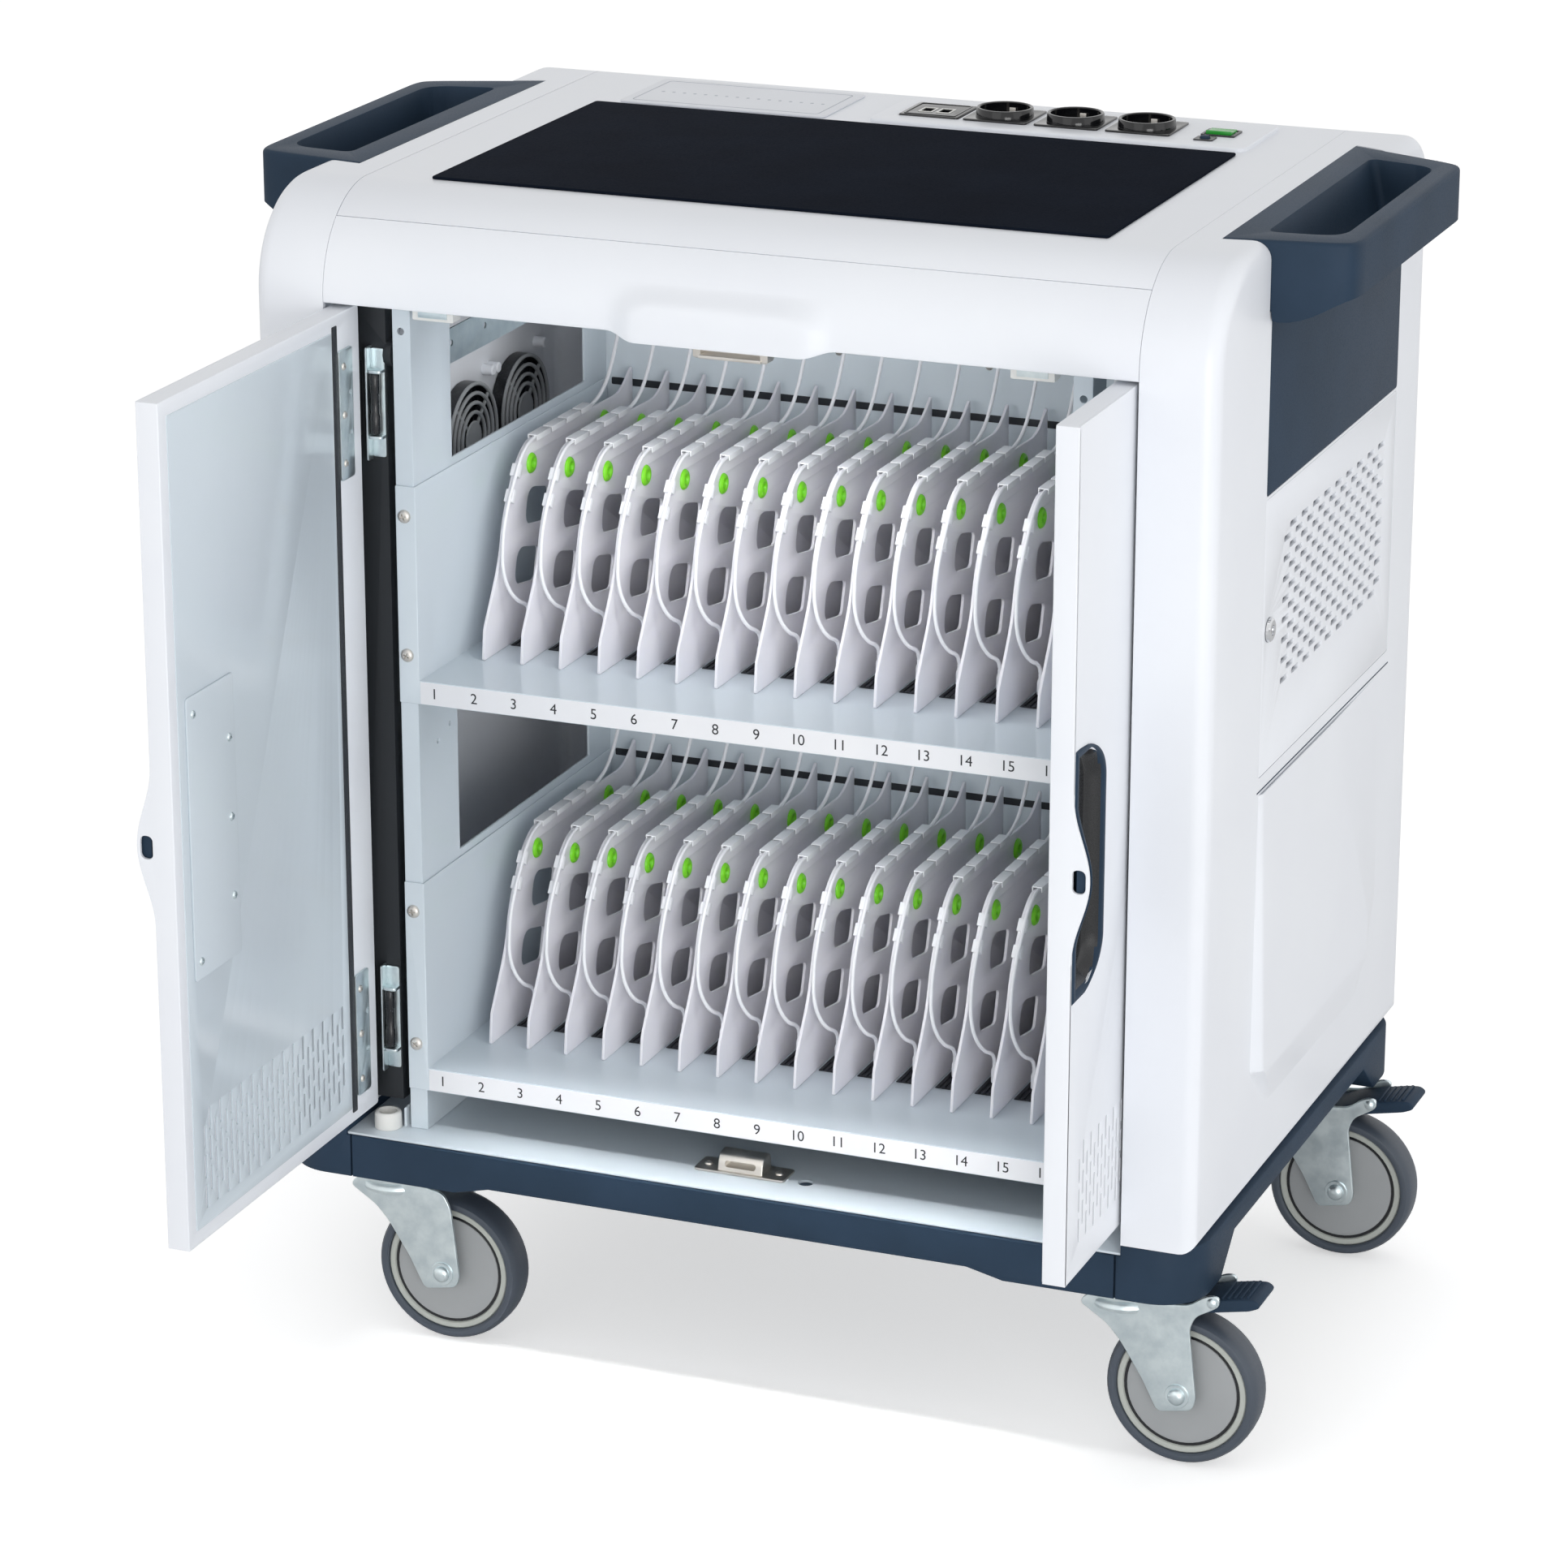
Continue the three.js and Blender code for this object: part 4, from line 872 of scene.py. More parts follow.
for shelf, floor in trays.items():
    film_line = rounded(box_line(-264, 264, floor - 18.4, floor - 0.6), 0.6, 2)
    strip = cut_sheet(f"{shelf}_number_film", [film_line], "y", 26.2, 26.5, 0.1)
    dress(strip, white_vinyl_and_painted_light)
    figures = [number_text("figure", str(n), -252 + 33.8 * (n - 1), floor - 9.5, 12, 26.17)
               for n in range(1, 17)]
    dress(joined(f"{shelf}_slot_numbers", figures), ink)
print("ribs and numbers on", len(trays), "trays")

# %% [markdown]
# ## On the work top
# A foam mat for writing lies in the middle; behind it a printed membrane panel, and a raised island with
# a charging insert, three mains sockets with earth clips, a lit rocker switch and a reset button. The
# sockets are square plates with a turned rim and a deep well, so the lathe makes most of them.

# %% mat and membrane panel
mat = cut_sheet("foam_mat", [rounded(box_line(-273, 273, 84, 397), 3, 3)], "z", 953.05, 955.3, 0.7, 2)
dress(mat, mat_foam, stands_for=["writing_mat"])
panel = cut_sheet("membrane_panel", [rounded(box_line(-258, -78, 408, 506), 6, 4)], "z", 953.05, 954.5,
                  0.5, 2)
dress(panel, pale_film, stands_for=["display_panel"])
grey_ink = moulded("pale_screen_ink", "B4B9C3", "AEB3BD", 0.5, 0.8, 0.004)
marks = [cut_sheet("mark", [ring(-238 + 9.4 * k, 455, 1.5, 12)], "z", 954.4, 954.62, 0.05)
         for k in range(16)]
frame_line = rounded(box_line(-250, -86, 416, 498), 4, 4)
inner_frame = rounded(box_line(-249, -87, 417, 497), 3.4, 4)
marks.append(cut_sheet("border", [frame_line, inner_frame], "z", 954.4, 954.62, 0.05))
dress(joined("panel_marks", marks), grey_ink)
print("mat and membrane panel on the work top")

# %% socket island
island_line = rounded(box_line(-40, 276, 408, 506), 9, 5)
wells = [ring(x, 456, 24.4, 40) for x in (60, 120, 180)]
usb_seat = rounded(box_line(-22.4, 28.4, 430.6, 481.4), 2, 3)
switch_seat = box_line(230.4, 253.6, 447.4, 464.6)
button_seat = ring(236, 432, 4.4, 20)
island = cut_sheet("socket_island_moulding", [island_line, *wells, usb_seat, switch_seat, button_seat],
                   "z", 946, 956.3, 1.2, 3)
dress(island, white_coat, stands_for=["socket_island"])
socket_profile = [(0, -10.2), (19.4, -10.2), (19.8, -9.6), (20.2, 7.6), (20.9, 8.4), (22.4, 8.4),
                  (23.0, 7.6), (23.4, 1.8), (24.2, 1.6), (24.2, -11.8), (0, -11.8)]
sockets, clips = [], []
for x in (60, 120, 180):
    plate = cut_sheet("socket_plate",
                      [rounded(box_line(x - 27, x + 27, 429, 483), 3, 3), ring(x, 456, 23.2, 40)],
                      "z", 956.2, 957.8, 0.5, 2)
    well = turned("socket_well", socket_profile, "z", (x, 456, 956), 48)
    pins = [turned("pin", [(0, -4), (2.4, -4), (2.4, 4), (0, 4)], "z", (x + dx, 456, 946), 14)
            for dx in (-9.5, 9.5)]
    carve(well, pins)
    sockets += [plate, well]
    for dy in (-18.6, 18.6):
        middle = 456 + dy
        clips.append(block("earth_clip", x - 2.6, x + 2.6, middle - 0.5, middle + 0.5, 947, 960, 0.3))
dress(joined("mains_sockets", sockets), gloss_abs, stands_for=["socket_block"])
dress(joined("earth_clips", clips), nickel)
usb = cut_sheet("charging_insert_face", [rounded(box_line(-22, 28, 431, 481), 2, 3),
                                         box_line(-9, 0, 446, 460), box_line(6, 15, 446, 460)],
                "z", 950, 957.4, 0.6, 2)
tongues = [block("tongue", x, x + 7, 450.5, 454.5, 948, 955, 0.3) for x in (-8, 7)]
rim = cut_sheet("insert_rim", [rounded(box_line(-19, 25, 434, 478), 2, 3),
                               rounded(box_line(-17.8, 23.8, 435.2, 476.8), 2, 3)],
                "z", 957.2, 957.9, 0.2)
dress(joined("charging_insert", [usb, rim]), gloss_abs, stands_for=["usb_insert"])
tongues += [cut_sheet("port", [rounded(box_line(x - 1.6, x + 10.6, 444.4, 461.6), 1, 2),
                               box_line(x, x + 9, 446, 460)],
                      "z", 957.2, 957.8, 0.15) for x in (-9, 6)]
dress(joined("charging_ports", tongues), nylon)
print("island with", len(sockets) // 2, "sockets")

# %% rocker and button
rocker_line = rounded([(448, 957), (464, 957), (464, 959.2), (456, 958.6), (448, 960.3)],
                      [0.3, 0.3, 1, 4, 1], 4)
rocker = cut_sheet("lit_rocker", [rocker_line], "x", 231.4, 252.6, 0.5, 2)
dress(rocker, green_lens, "rocker_switch", ["rocker_switch"])
bezel = cut_sheet("rocker_bezel",
                  [rounded(box_line(228, 256, 444, 468), 2, 3), box_line(230.4, 253.6, 446, 466)],
                  "z", 956.1, 957.6, 0.4, 2)
collar = cut_sheet("button_bezel",
                   [rounded(box_line(228, 244, 424.5, 439.5), 2, 3), ring(236, 432, 4.4, 24)],
                   "z", 956.1, 957.3, 0.4, 2)
dress(joined("switch_bezels", [bezel, collar]), black_abs_and_shade)
button = turned("reset_knob", [(0, 3.3), (2.6, 3.3), (3.6, 2.9), (4.0, 2.1), (4.0, -6), (0, -6)], "z",
                (236, 432, 956), 24)
dress(button, slate_abs, "reset_button", ["reset_button"])
print("rocker and button")

# %% [markdown]
# ## Handles
# Each side has a broad push handle: a moulded loop that swells out of the cheek, with a deep grip whose
# walls taper downwards so that it leaves the mould, and a flat plate below that covers the joint. The
# loop is cut from its plan with a generous edge radius; the grip is cut by a tapered plug; and the plate
# is a thin sheet.

# %% handles
grip_line = rounded([(372, 148), (420, 153), (431, 164), (431, 402), (420, 413), (372, 424)],
                    [10, 10, 12, 12, 10, 10], 6)
under_line = [(340, 870), (340, 953.1), (350.2, 953.1), (350.4, 900.3), (386.8, 900.3), (387.4, 893.2),
              (392, 892.4), (400, 892.8), (408, 894.6), (416, 897.6), (424, 901.6), (432, 906),
              (440, 910), (452, 914), (452, 870)]


def handle(side, name):
    """A handle loop with its grip and plate on one side."""
    plan = [(347.6, handle_plan[0][1]), *handle_plan[1:-1], (347.6, handle_plan[-1][1])]
    outline = rounded(plan, [0, 20, 20, 20, 20, 0], 8)
    loop = cut_sheet("loop", [mirrored(outline, side)], "z", 886, 953.4, 3.4, 4)
    plug = cut_sheet("plug", [mirrored(grip_line, side)], "z", 890, 960, 0)
    for point in plug.data.vertices:
        if point.co.z < 0.92:
            across = (abs(point.co.x) / MM - 372) / (431 - 372)
            point.co.x = side * (391 + (424 - 391) * across) * MM
            middle = cabinet(0, 286, 0).y
            point.co.y = middle + (point.co.y - middle) * 0.94
    carve(loop, [plug, cut_sheet("under", [mirrored(under_line, side)], "y", 90, 500, 0)])
    softened(loop, 2.0, 3, 40)
    plate = cut_sheet("plate", [plate_line], "x", *span(side, 384, 386.3), 0.5, 2)
    return joined(name, [loop, plate])


for side, label in ((1, "right"), (-1, "left")):
    piece = handle(side, f"{label}_push_handle")
    dress(piece, slate_abs, stands_for=[f"{label}_handle"])
    print(piece.name, len(piece.data.polygons), "faces")

# %% [markdown]
# ## Vent panel and the lower relief
# The right cheek has a removable panel with rows of punched slots and a cam lock, and below it a pressed
# relief that leans out towards its foot and ramps back into the skin there. The slots are holes in the
# panel's outline. The relief is a fine grid over the skin, lifted by a height for each point.

# %% vent panel
slots = []
for row in range(16):
    for column in range(9):
        y = 186 + 30 * column + (15 if row % 2 else 0)
        if y < 446:
            slots.append(obround(y, 600 + 8.0 * row, 9.0, 2.2))
vent = cut_sheet("vent_cover", [vent_line, *slots, ring(143, 651, 9.6, 20)], "x", 382.2, 386, 0.4, 1)
dress(vent, white_coat, "vent_panel", ["right_vent_panel"])
lock = turned("cam_lock_face",
              [(0, 2.4), (3.6, 2.4), (4.0, 2.0), (4.2, 3.4), (7.6, 3.4), (9.0, 2.4), (9.4, 0.4),
               (8.6, 0), (8.6, -6), (0, -6)], "x", (386, 143, 651), 28)
carve(lock, [block("key_slot", 385, 392, 142.5, 143.5, 648.2, 653.8, 0)])
dress(lock, chrome, "vent_lock", ["vent_lock"])
print("vent panel with", len(slots), "slots")

# %% relief on the right cheek
relief_depth = 9


def relief_point(across, up):
    """The relief's skin: nearly flush at its seam, out at its foot, with a ramp back below that."""
    y, z = 122 + 356 * across, 250 + 274 * up
    height = share(z, 296, 524)
    front_cut, rear_cut = share(z, 300, 258), 40 * share(z, 330, 258)
    lean = 1 - 0.72 * height
    ramp = share(z, 258, 296)
    front = share(y, 128 + 44 * front_cut, 133 + 50 * front_cut)
    rear = share(y, 470 - rear_cut, 442 - rear_cut - 120 * height)
    return 385.7 + relief_depth * lean * ramp * front * rear, y, z


relief = draped("relief", 140, 110, relief_point)
if relief.data.polygons[0].normal.x < 0:
    relief.data.flip_normals()
thickened(relief, 1)
seam = cut_sheet("service_seam", [rounded(box_line(124, 484, 526, 527.2), 0.3, 2)], "x", 385.6, 386.15,
                 0.05)
dress(relief, white_coat)
dress(seam, slate_abs)
print("relief reaches", round(max(v.co.x for v in relief.data.vertices), 4), "m")

# %% [markdown]
# ## Pocket doors
# Each door is a shallow tray of white sheet with a grey inner sheet, punched with rows of vent slots
# near its foot. A pale sheet behind the front slots is painted light, for the light that shows through
# them. A dark strip runs down the hinge side. Both doors stand square to the front here, the left one
# swung open and the right one slid halfway into the cabinet, so they are drawn in the side view as sheets
# with holes.

# %% door sheets
door_foot, door_head, door_inner, door_outer = 212, 867, 305.5, 323.5
hinge_edge = {"left": 18, "right": 200}
door_width = 322


def vent_rows(rear):
    """The slots near a door's foot: three rows, with every other column shifted by half a pitch."""
    lines = []
    for column in range(28):
        y = rear - door_width + 30 + 8.6 * column
        for row in range(3):
            lines.append(obround(y, door_foot + 34 + 24 * row + (12 if column % 2 else 0), 1.6, 9.5, 3))
    return lines


cup_middle, cup_half, cup_width, cup_start = 530, 97, 68, 3.2


def cup_reach(z):
    """How wide a finger cup is at a height: a D with a straight front and round rear corners."""
    t = abs(z - cup_middle) / cup_half
    return cup_width if t < 0.62 else 8 + (cup_width - 8) * max(1 - ((t - 0.62) / 0.38) ** 2, 0) ** 0.5


def cup_outline(front, inset):
    """The outline of a cup's hole in the door, by so much smaller than the cup."""
    heights = [cup_middle + (cup_half - inset) * (k / 20 - 1) for k in range(41)]
    edge = front + cup_start
    rear = [(edge + cup_reach(cup_middle + (z - cup_middle) * cup_half / (cup_half - inset)) - inset, z)
            for z in reversed(heights)]
    return [(edge, heights[0]), (edge, heights[-1]), *rear]


def door(side, label):
    """A door's outer skin and folded rim, its inner sheet and its dark strip."""
    rear = hinge_edge[label]
    front = rear - door_width
    slots = vent_rows(rear)
    rim = rounded(box_line(front, rear, door_foot, door_head), 3, 3)
    inside = rounded(box_line(front + 15, rear - 48, door_foot + 15, door_head - 15), 2, 3)
    skin = cut_sheet("skin", [rim, *slots], "x", *span(side, door_outer, door_outer - 1.6), 0.5, 2)
    fold = cut_sheet("fold", [rim, inside], "x", *span(side, door_outer - 1.5, door_inner), 0.6, 2)
    for part in (skin, fold):
        carve(part, [cut_sheet("cup_hole", [cup_outline(front, 3)], "x",
                               *span(side, door_outer - 12.8, door_outer + 2), 0)])
    dress(joined(f"{label}_door_shell", [skin, fold]), white_coat, f"{label}_door",
          [f"{label}_door"])
    cover_line = rounded(box_line(front + 12, rear - 47, door_foot + 12, door_head - 12), 2, 3)
    cover = cut_sheet(f"{label}_door_lining", [cover_line, *slots], "x",
                      *span(side, door_inner + 0.9, door_inner - 0.7))
    dress(cover, grey_coat, f"{label}_door")
    # A pale sheet right behind the front vent slots: painted light, for the light that shows through them.
    mesh = cut_sheet(f"{label}_vent_light_backing",
                     [box_line(front + 22, front + 186, door_foot + 18, door_foot + 118)], "x",
                     *span(side, door_inner + 1.0, door_inner + 1.6), 0.1)
    dress(mesh, white_vinyl_and_painted_light, f"{label}_door")
    # A dark strip down the hinge side, in the gap between the lining and the rim.
    dark_strip = cut_sheet(f"{label}_door_dark_strip",
                       [rounded(box_line(rear - 46, rear - 38, door_foot + 8, door_head - 8), 1, 2)], "x",
                       *span(side, door_inner - 0.8, door_inner + 0.2))
    dress(dark_strip, dark_rubber_and_shade, f"{label}_door")
    return front


free_edge = {label: door(side, label) for side, label in ((-1, "left"), (1, "right"))}
print("free edges of the doors at", free_edge)

# %% [markdown]
# ## Lips, cups and lock covers
# The lip is the grip of a door: a sheet across its free edge that stands out in a wave, with a hole for
# the lock. Behind it a dark moulded cup is let into the door for the fingers. Inside, a screwed cover
# hides the lock. The cup is a grid in the shape of a D: its rim follows the lip, its middle sinks.

# %% lips, cups and covers
lip_low, lip_high, lip_bulge, lip_half = 433, 627, 13, 62
lock_screws = [(31, 626), (31, 434), (86, 592), (86, 530), (86, 468)]


def lip_reach(z):
    """How far the lip's wave stands out of the door at a height."""
    return lip_bulge * (0.5 + 0.5 * cos(pi * min(abs(z - cup_middle) / lip_half, 1)))


def lip_line(side):
    """The outline of a door's front sheet: as wide as the door is thick, with the lip's wave outside."""
    heights = [lip_low + (lip_high - lip_low) * k / 48 for k in range(49)]
    return [(side * door_outer, door_head - 0.3), (side * (door_inner + 0.3), door_head - 0.3),
            (side * (door_inner + 0.3), door_foot + 0.3), (side * door_outer, door_foot + 0.3),
            *[(side * (door_outer + lip_reach(z)), z) for z in heights]]


def cup_skin(side, front):
    """A finger cup: a rim that follows the lip in front and lies flat behind, round a deep bowl."""

    def point(up, back):
        z = cup_middle + cup_half * (2 * up - 1)
        width = cup_reach(z)
        inside = min(back * width, (1 - back) * width, cup_half - abs(z - cup_middle))
        rim = 1.4 + (lip_reach(z) - 0.6) * (1 - smooth(back * width, 1, 20)) * (lip_reach(z) > 0.6)
        bowl = smooth(inside, 4.5, 17)
        height = -0.6 + (rim + 0.6) * smooth(inside, -0.6, 1.4)
        return side * (door_outer + height * (1 - bowl) - 11 * bowl), front + cup_start + back * width, z

    piece = draped("cup", 96, 44, point)
    middle = min(piece.data.polygons, key=lambda face: abs(face.center.x))
    if middle.normal.x * side < 0:
        piece.data.flip_normals()
    thickened(piece, 0.8)
    piece.data.materials.append(black_abs_and_shade)
    piece.data.materials.append(slate_abs)
    for face in piece.data.polygons:
        face.material_index = int(abs(face.center.x) / MM > door_outer - 1.2)
    return piece


for side, label in ((-1, "left"), (1, "right")):
    front = free_edge[label]
    lock_hole = obround(side * (door_outer + 5), cup_middle, 5.2, 9, 6)
    lip = cut_sheet(f"{label}_door_lip", [lip_line(side), lock_hole], "y", front - 0.2, front + 3, 0.7, 3)
    dress(lip, white_coat, f"{label}_door")
    cup = cup_skin(side, front)
    cup.name = cup.data.name = f"{label}_finger_cup"
    dress(cup, black_abs_and_shade, f"{label}_door", [f"{label}_handle_cup"])
    cover_line = rounded(box_line(front + 22, front + 95, 420, 640), 3, 3)
    cover = cut_sheet(f"{label}_lock_plate", [cover_line], "x",
                      *span(side, door_inner - 0.65, door_inner - 2.4), 0.6, 2)
    dress(cover, grey_coat, f"{label}_door", [f"{label}_lock_cover"])
    facing = "x" if side < 0 else "-x"
    heads = screwed(f"{label}_lock_screws", facing,
                    [(side * (door_inner - 2.3), front + y, z) for y, z in lock_screws], 0.8)
    dress(heads, zinc, f"{label}_door")
print("lips reach", lip_bulge, "mm out of the doors")

# %% [markdown]
# ## Hinges and carriages
# A zinc leaf is screwed to the door's inner face at each hinge height. It meets a bracket with a black
# roller on the carriage, the dark upright that slides back with the door along the rail.

# %% hinges
hinge_heights = (282.5, 787.5)
roller_profile = [(0, 24), (3.4, 24), (4.2, 22.8), (4.2, 9), (3.6, 8), (3.6, -8), (4.2, -9), (4.2, -22.8),
                  (3.4, -24), (0, -24)]
for side, label in ((-1, "left"), (1, "right")):
    upright = dressed_copy(f"{label}_carriage", f"{label}_carriage_upright", 0.8)
    carriage = "left_carriage" if label == "left" else "right_door"
    # The upright's near black coat is painted shade for the dark gap behind the door's hinge edge.
    dress(upright, painted_shade_coat, carriage, [f"{label}_carriage"])
    rear = hinge_edge[label]
    leaves, heads, brackets, rollers = [], [], [], []
    for z in hinge_heights:
        line = rounded(box_line(rear - 38, rear - 15.5, z - 51, z + 51), 3, 3)
        holes = [ring(rear - 20, z + dz, 2.2, 12) for dz in (16, -16)]
        leaves.append(cut_sheet("leaf", [line, *holes], "x",
                                *span(side, door_inner - 0.1, door_inner - 2.0), 0.3))
        heads += [(side * (door_inner - 1.9), rear - 31, z + dz) for dz in (-38, 0, 38)]
        ear_line = rounded(box_line(*span(side, 290, 302), rear + 3.6, rear + 14.2), 3, 3)
        brackets += [cut_sheet("ear", [ear_line], "z", z + dz - 1.2, z + dz + 1.2) for dz in (-26, 26)]
        web_line = rounded(box_line(rear + 4, rear + 14.2, z - 45, z + 45), 2, 2)
        brackets.append(cut_sheet("web", [web_line], "x", *span(side, 301.6, 303.2)))
        back_line = rounded(box_line(*span(side, 290.4, 302), z - 43, z + 43), 2, 2)
        brackets.append(cut_sheet("back", [back_line], "y", rear + 12.4, rear + 13.8, 0.3))
        rollers.append(turned("roller", roller_profile, "z", (side * 297.4, rear + 9, z), 24))
    dress(joined(f"{label}_hinge_leaves", leaves), zinc, f"{label}_door")
    dress(screwed(f"{label}_hinge_screws", "x" if side < 0 else "-x", heads, 0.75), nickel,
          f"{label}_door")
    dress(joined(f"{label}_hinge_ears", brackets), zinc, carriage)
    dress(joined(f"{label}_hinge_rollers", rollers), black_abs_and_shade, carriage)
print("hinges at", hinge_heights)

# %% [markdown]
# ## Rails, strikes and catches
# Zinc rails guide the doors back, two nickel strikes catch the lock above and below, and small magnets
# and nylon bumpers meet the doors along the opening. A rail is an angle section with punched holes, drawn
# from its end; the strikes are cut out of blocks and sheets. The power supply's case is a copy of its
# solid.

# %% rails and strikes
section = [(282.4, 796), (288.2, 796), (288.2, 797.4), (283.7, 797.4), (283.7, 824), (282.4, 824)]
for label, side in (("left", -1), ("right", 1)):
    rail = cut_sheet(f"{label}_zinc_rail", [mirrored(section, side)], "y", 66, 392, 0.3, 1)
    carve(rail, [turned("punch", [(0, -4), (2.6, -4), (2.6, 4), (0, 4)], "x", (side * 283, y, 812), 14)
                 for y in (116, 134, 196, 262, 330)])
    dress(rail, zinc, stands_for=[f"{label}_rail"])
low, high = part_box("bottom_strike")
left, right = low.x / MM, high.x / MM
middle = (left + right) / 2
strike_plate = cut_sheet("plate", [rounded(box_line(left, right, 32, 58), 3, 3),
                                   ring(middle, 37, 2.5, 12)], "z", 190.2, 192, 0.5, 2)
hood_line = rounded([(35, 191), (37, 200), (40, 204.5), (51, 206), (54, 203), (56, 191)],
                    [0, 2, 2, 2, 2, 0], 3)
hood = cut_sheet("hood", [hood_line], "x", middle - 19, middle + 19, 1.2, 3)
carve(hood, [cut_sheet("slot", [obround(middle, 197.4, 13, 2.6)], "y", 30, 46, 0)])
dress(joined("bottom_nickel_strike", [strike_plate, hood]), nickel,
      stands_for=["bottom_strike"])
strike_screws = screwed("strike_screws", "z", [(x, 45, 191.9) for x in (left + 8, right - 8)], 0.9)
dress(strike_screws, nickel)
low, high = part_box("top_strike")
left, right = low.x / MM, high.x / MM
strike = block("keeper", left, right, 21, 34, 850, 869.7, 2.4, 3)
carve(strike, [block("mouth", left + 6, right - 6, 18, 31, 853.5, 866, 0)])
shelf_lip = block("keeper_lip", left + 5, right - 5, 19.4, 23, 850.4, 853.4, 0.9, 2)
dress(joined("top_nickel_strike", [strike, shelf_lip]), nickel, stands_for=["top_strike"])
supply = dressed_copy("power_supply", "power_supply_case", 1.0, 2)
dress(supply, slate_abs, stands_for=["power_supply"])
catches, magnets = [], []
for x in (-244, 238):
    catches.append(block("catch", x - 17, x + 17, 21, 33.6, 858, 869.7, 1.2, 3))
    magnets.append(block("magnet", x - 12, x + 12, 20, 24, 860.5, 867, 0.4, 1))
dress(joined("magnet_catches", catches), nylon)
dress(joined("catch_magnets", magnets), zinc)
bumper_profile = [(0, 7), (6, 7), (6.8, 8), (7.2, 13.4), (8.2, 14), (9.6, 13.8), (10.7, 12.6), (11, 10.5),
                  (11, 0.2), (0, 0.2)]
upper_profile = [(0, 2.4), (8, 2.4), (9, 1.6), (9, 0.3), (0, 0.3)]
guides = [turned("guide", bumper_profile, "z", (-300, 24, 190), 28),
          turned("guide", upper_profile, "z", (-303, 24, 867.3), 24)]
dress(joined("nylon_guides", guides), nylon)
dress(screwed("guide_screw", "z", [(-300, 24, 197)], 1.1), nickel)
print("rails, strikes and", len(guides), "nylon bumpers")

# %% [markdown]
# ## Fans
# On the inside of the left cheek a plate carries two fans that draw warm air out. A guard of rings and
# spokes lies over each. The rings are turned, the blades are thin cut sheets.

# %% fans
fan_high, fan_places, guard_plane = 672, (352, 456), -368
fan_line = rounded(box_line(240, 520, 606, 790), 4, 3)
openings = [ring(y, fan_high, 45, 40) for y in fan_places]
plate = cut_sheet("fan_plate", [fan_line, *openings], "x", -381.4, -379.6, 0.4, 1)
bosses = [turned("boss", [(0, 10), (3.6, 10), (4.6, 9), (4.8, 0), (0, 0)], "x",
                 (-379.6, y + dy, fan_high + dz), 16)
          for y in fan_places for dy in (-47, 47) for dz in (-47, 47)]
dress(joined("fan_plate", [plate, *bosses]), white_coat)
barrel_profile = [(47.5, -11), (47.5, -1), (46.0, -0.4), (44.5, -1), (44.5, -11)]
back_profile = [(0, -10), (45, -10), (45, -11), (0, -11)]
guards, vanes = [], []
for y in fan_places:
    for radius in (46, 38, 30, 22):
        line = [(radius + 1.7 * cos(pi * k / 4), 1.7 * sin(pi * k / 4)) for k in range(9)]
        guards.append(turned("guard_ring", line, "x", (guard_plane, y, fan_high), 40))
    guards.append(turned("guard_hub", [(0, 1), (14, 1), (15, 0), (14, -1), (0, -1)], "x",
                         (guard_plane, y, fan_high), 28))
    for spoke in range(4):
        tip = pi / 4 + spoke * pi / 2
        a, b = cos(tip), sin(tip)
        line = [(y + reach * a - half * b, fan_high + reach * b + half * a)
                for reach, half in ((13, 1.4), (46, 1.4), (46, -1.4), (13, -1.4))]
        guards.append(cut_sheet("spoke", [line], "x", guard_plane - 2, guard_plane, 0.3))
    vanes.append(turned("fan_barrel", barrel_profile, "x", (guard_plane, y, fan_high), 40))
    for vane in range(7):
        turn = vane * 2 * pi / 7
        line = [(y + reach * cos(turn + t), fan_high + reach * sin(turn + t)) for reach, t in
                ((14, 0), (28, 0.12), (43, 0.3), (43, 0.85), (28, 0.7), (14, 0.55))]
        vanes.append(cut_sheet("vane", [line], "x", -377, -375.6, 0.3))
    vanes.append(turned("back", back_profile, "x", (guard_plane, y, fan_high), 40))
dress(joined("fan_guards", guards), disc_grey, stands_for=["fan_panel"])
dress(joined("fan_vanes", vanes), black_abs_and_shade)
print("fans:", len(openings))

# %% [markdown]
# ## Casters
# Four swivel casters carry the cart. A plate with a ball race is bolted under the base, a pressed zinc
# fork turns on it, and the wheel runs on a bolt. The wheel is a grey disc with a groove and a dark tyre
# with round shoulders, both turned; the groove's floor is black as painted shade. The two casters on the
# right have a brake with a ribbed pedal.

# %% casters
disc_profile = [(0, 13), (41, 13), (44, 12.2), (45, 10.4), (45, -10.4), (44, -12.2), (41, -13), (0, -13)]
groove_profile = [(44.4, 11.6), (47.4, 11.6), (47.4, -11.6), (44.4, -11.6), (44.4, 11.6)]
ring_profile = [(46.8, 11.8), (47.6, 13), (51.4, 13), (52.4, 12), (52.4, -12), (51.4, -13), (47.6, -13),
                (46.8, -11.8), (46.8, 11.8)]
tyre_profile = [(52.5, 12), (52.7, 14.2), (53.9, 15.6), (55.8, 16), (58.4, 15.1), (60.4, 12.4),
                (61.4, 8.2), (61.7, 3), (61.7, -3), (61.4, -8.2), (60.4, -12.4), (58.4, -15.1),
                (55.8, -16), (53.9, -15.6), (52.7, -14.2), (52.5, -12), (52.5, 12)]
bolt_profile = [(0, 6), (2.8, 5.7), (5.2, 4.7), (6.7, 3.0), (7.0, 1.4), (9.4, 1.4), (9.8, 0.9), (9.8, 0),
                (0, 0)]
leg_line = [(-31, 128), (-8, 113), (3, 100.5), (21, 72), (34, 46), (62, 51), (65, 60), (60.5, 101),
            (58.5, 119)]
plain_top = [(52, 132), (30, 136), (-24, 136)]
eared_top = [(63, 130), (77, 138), (82, 142), (82, 149.5), (72, 149.5), (58, 139), (30, 136), (-24, 136)]
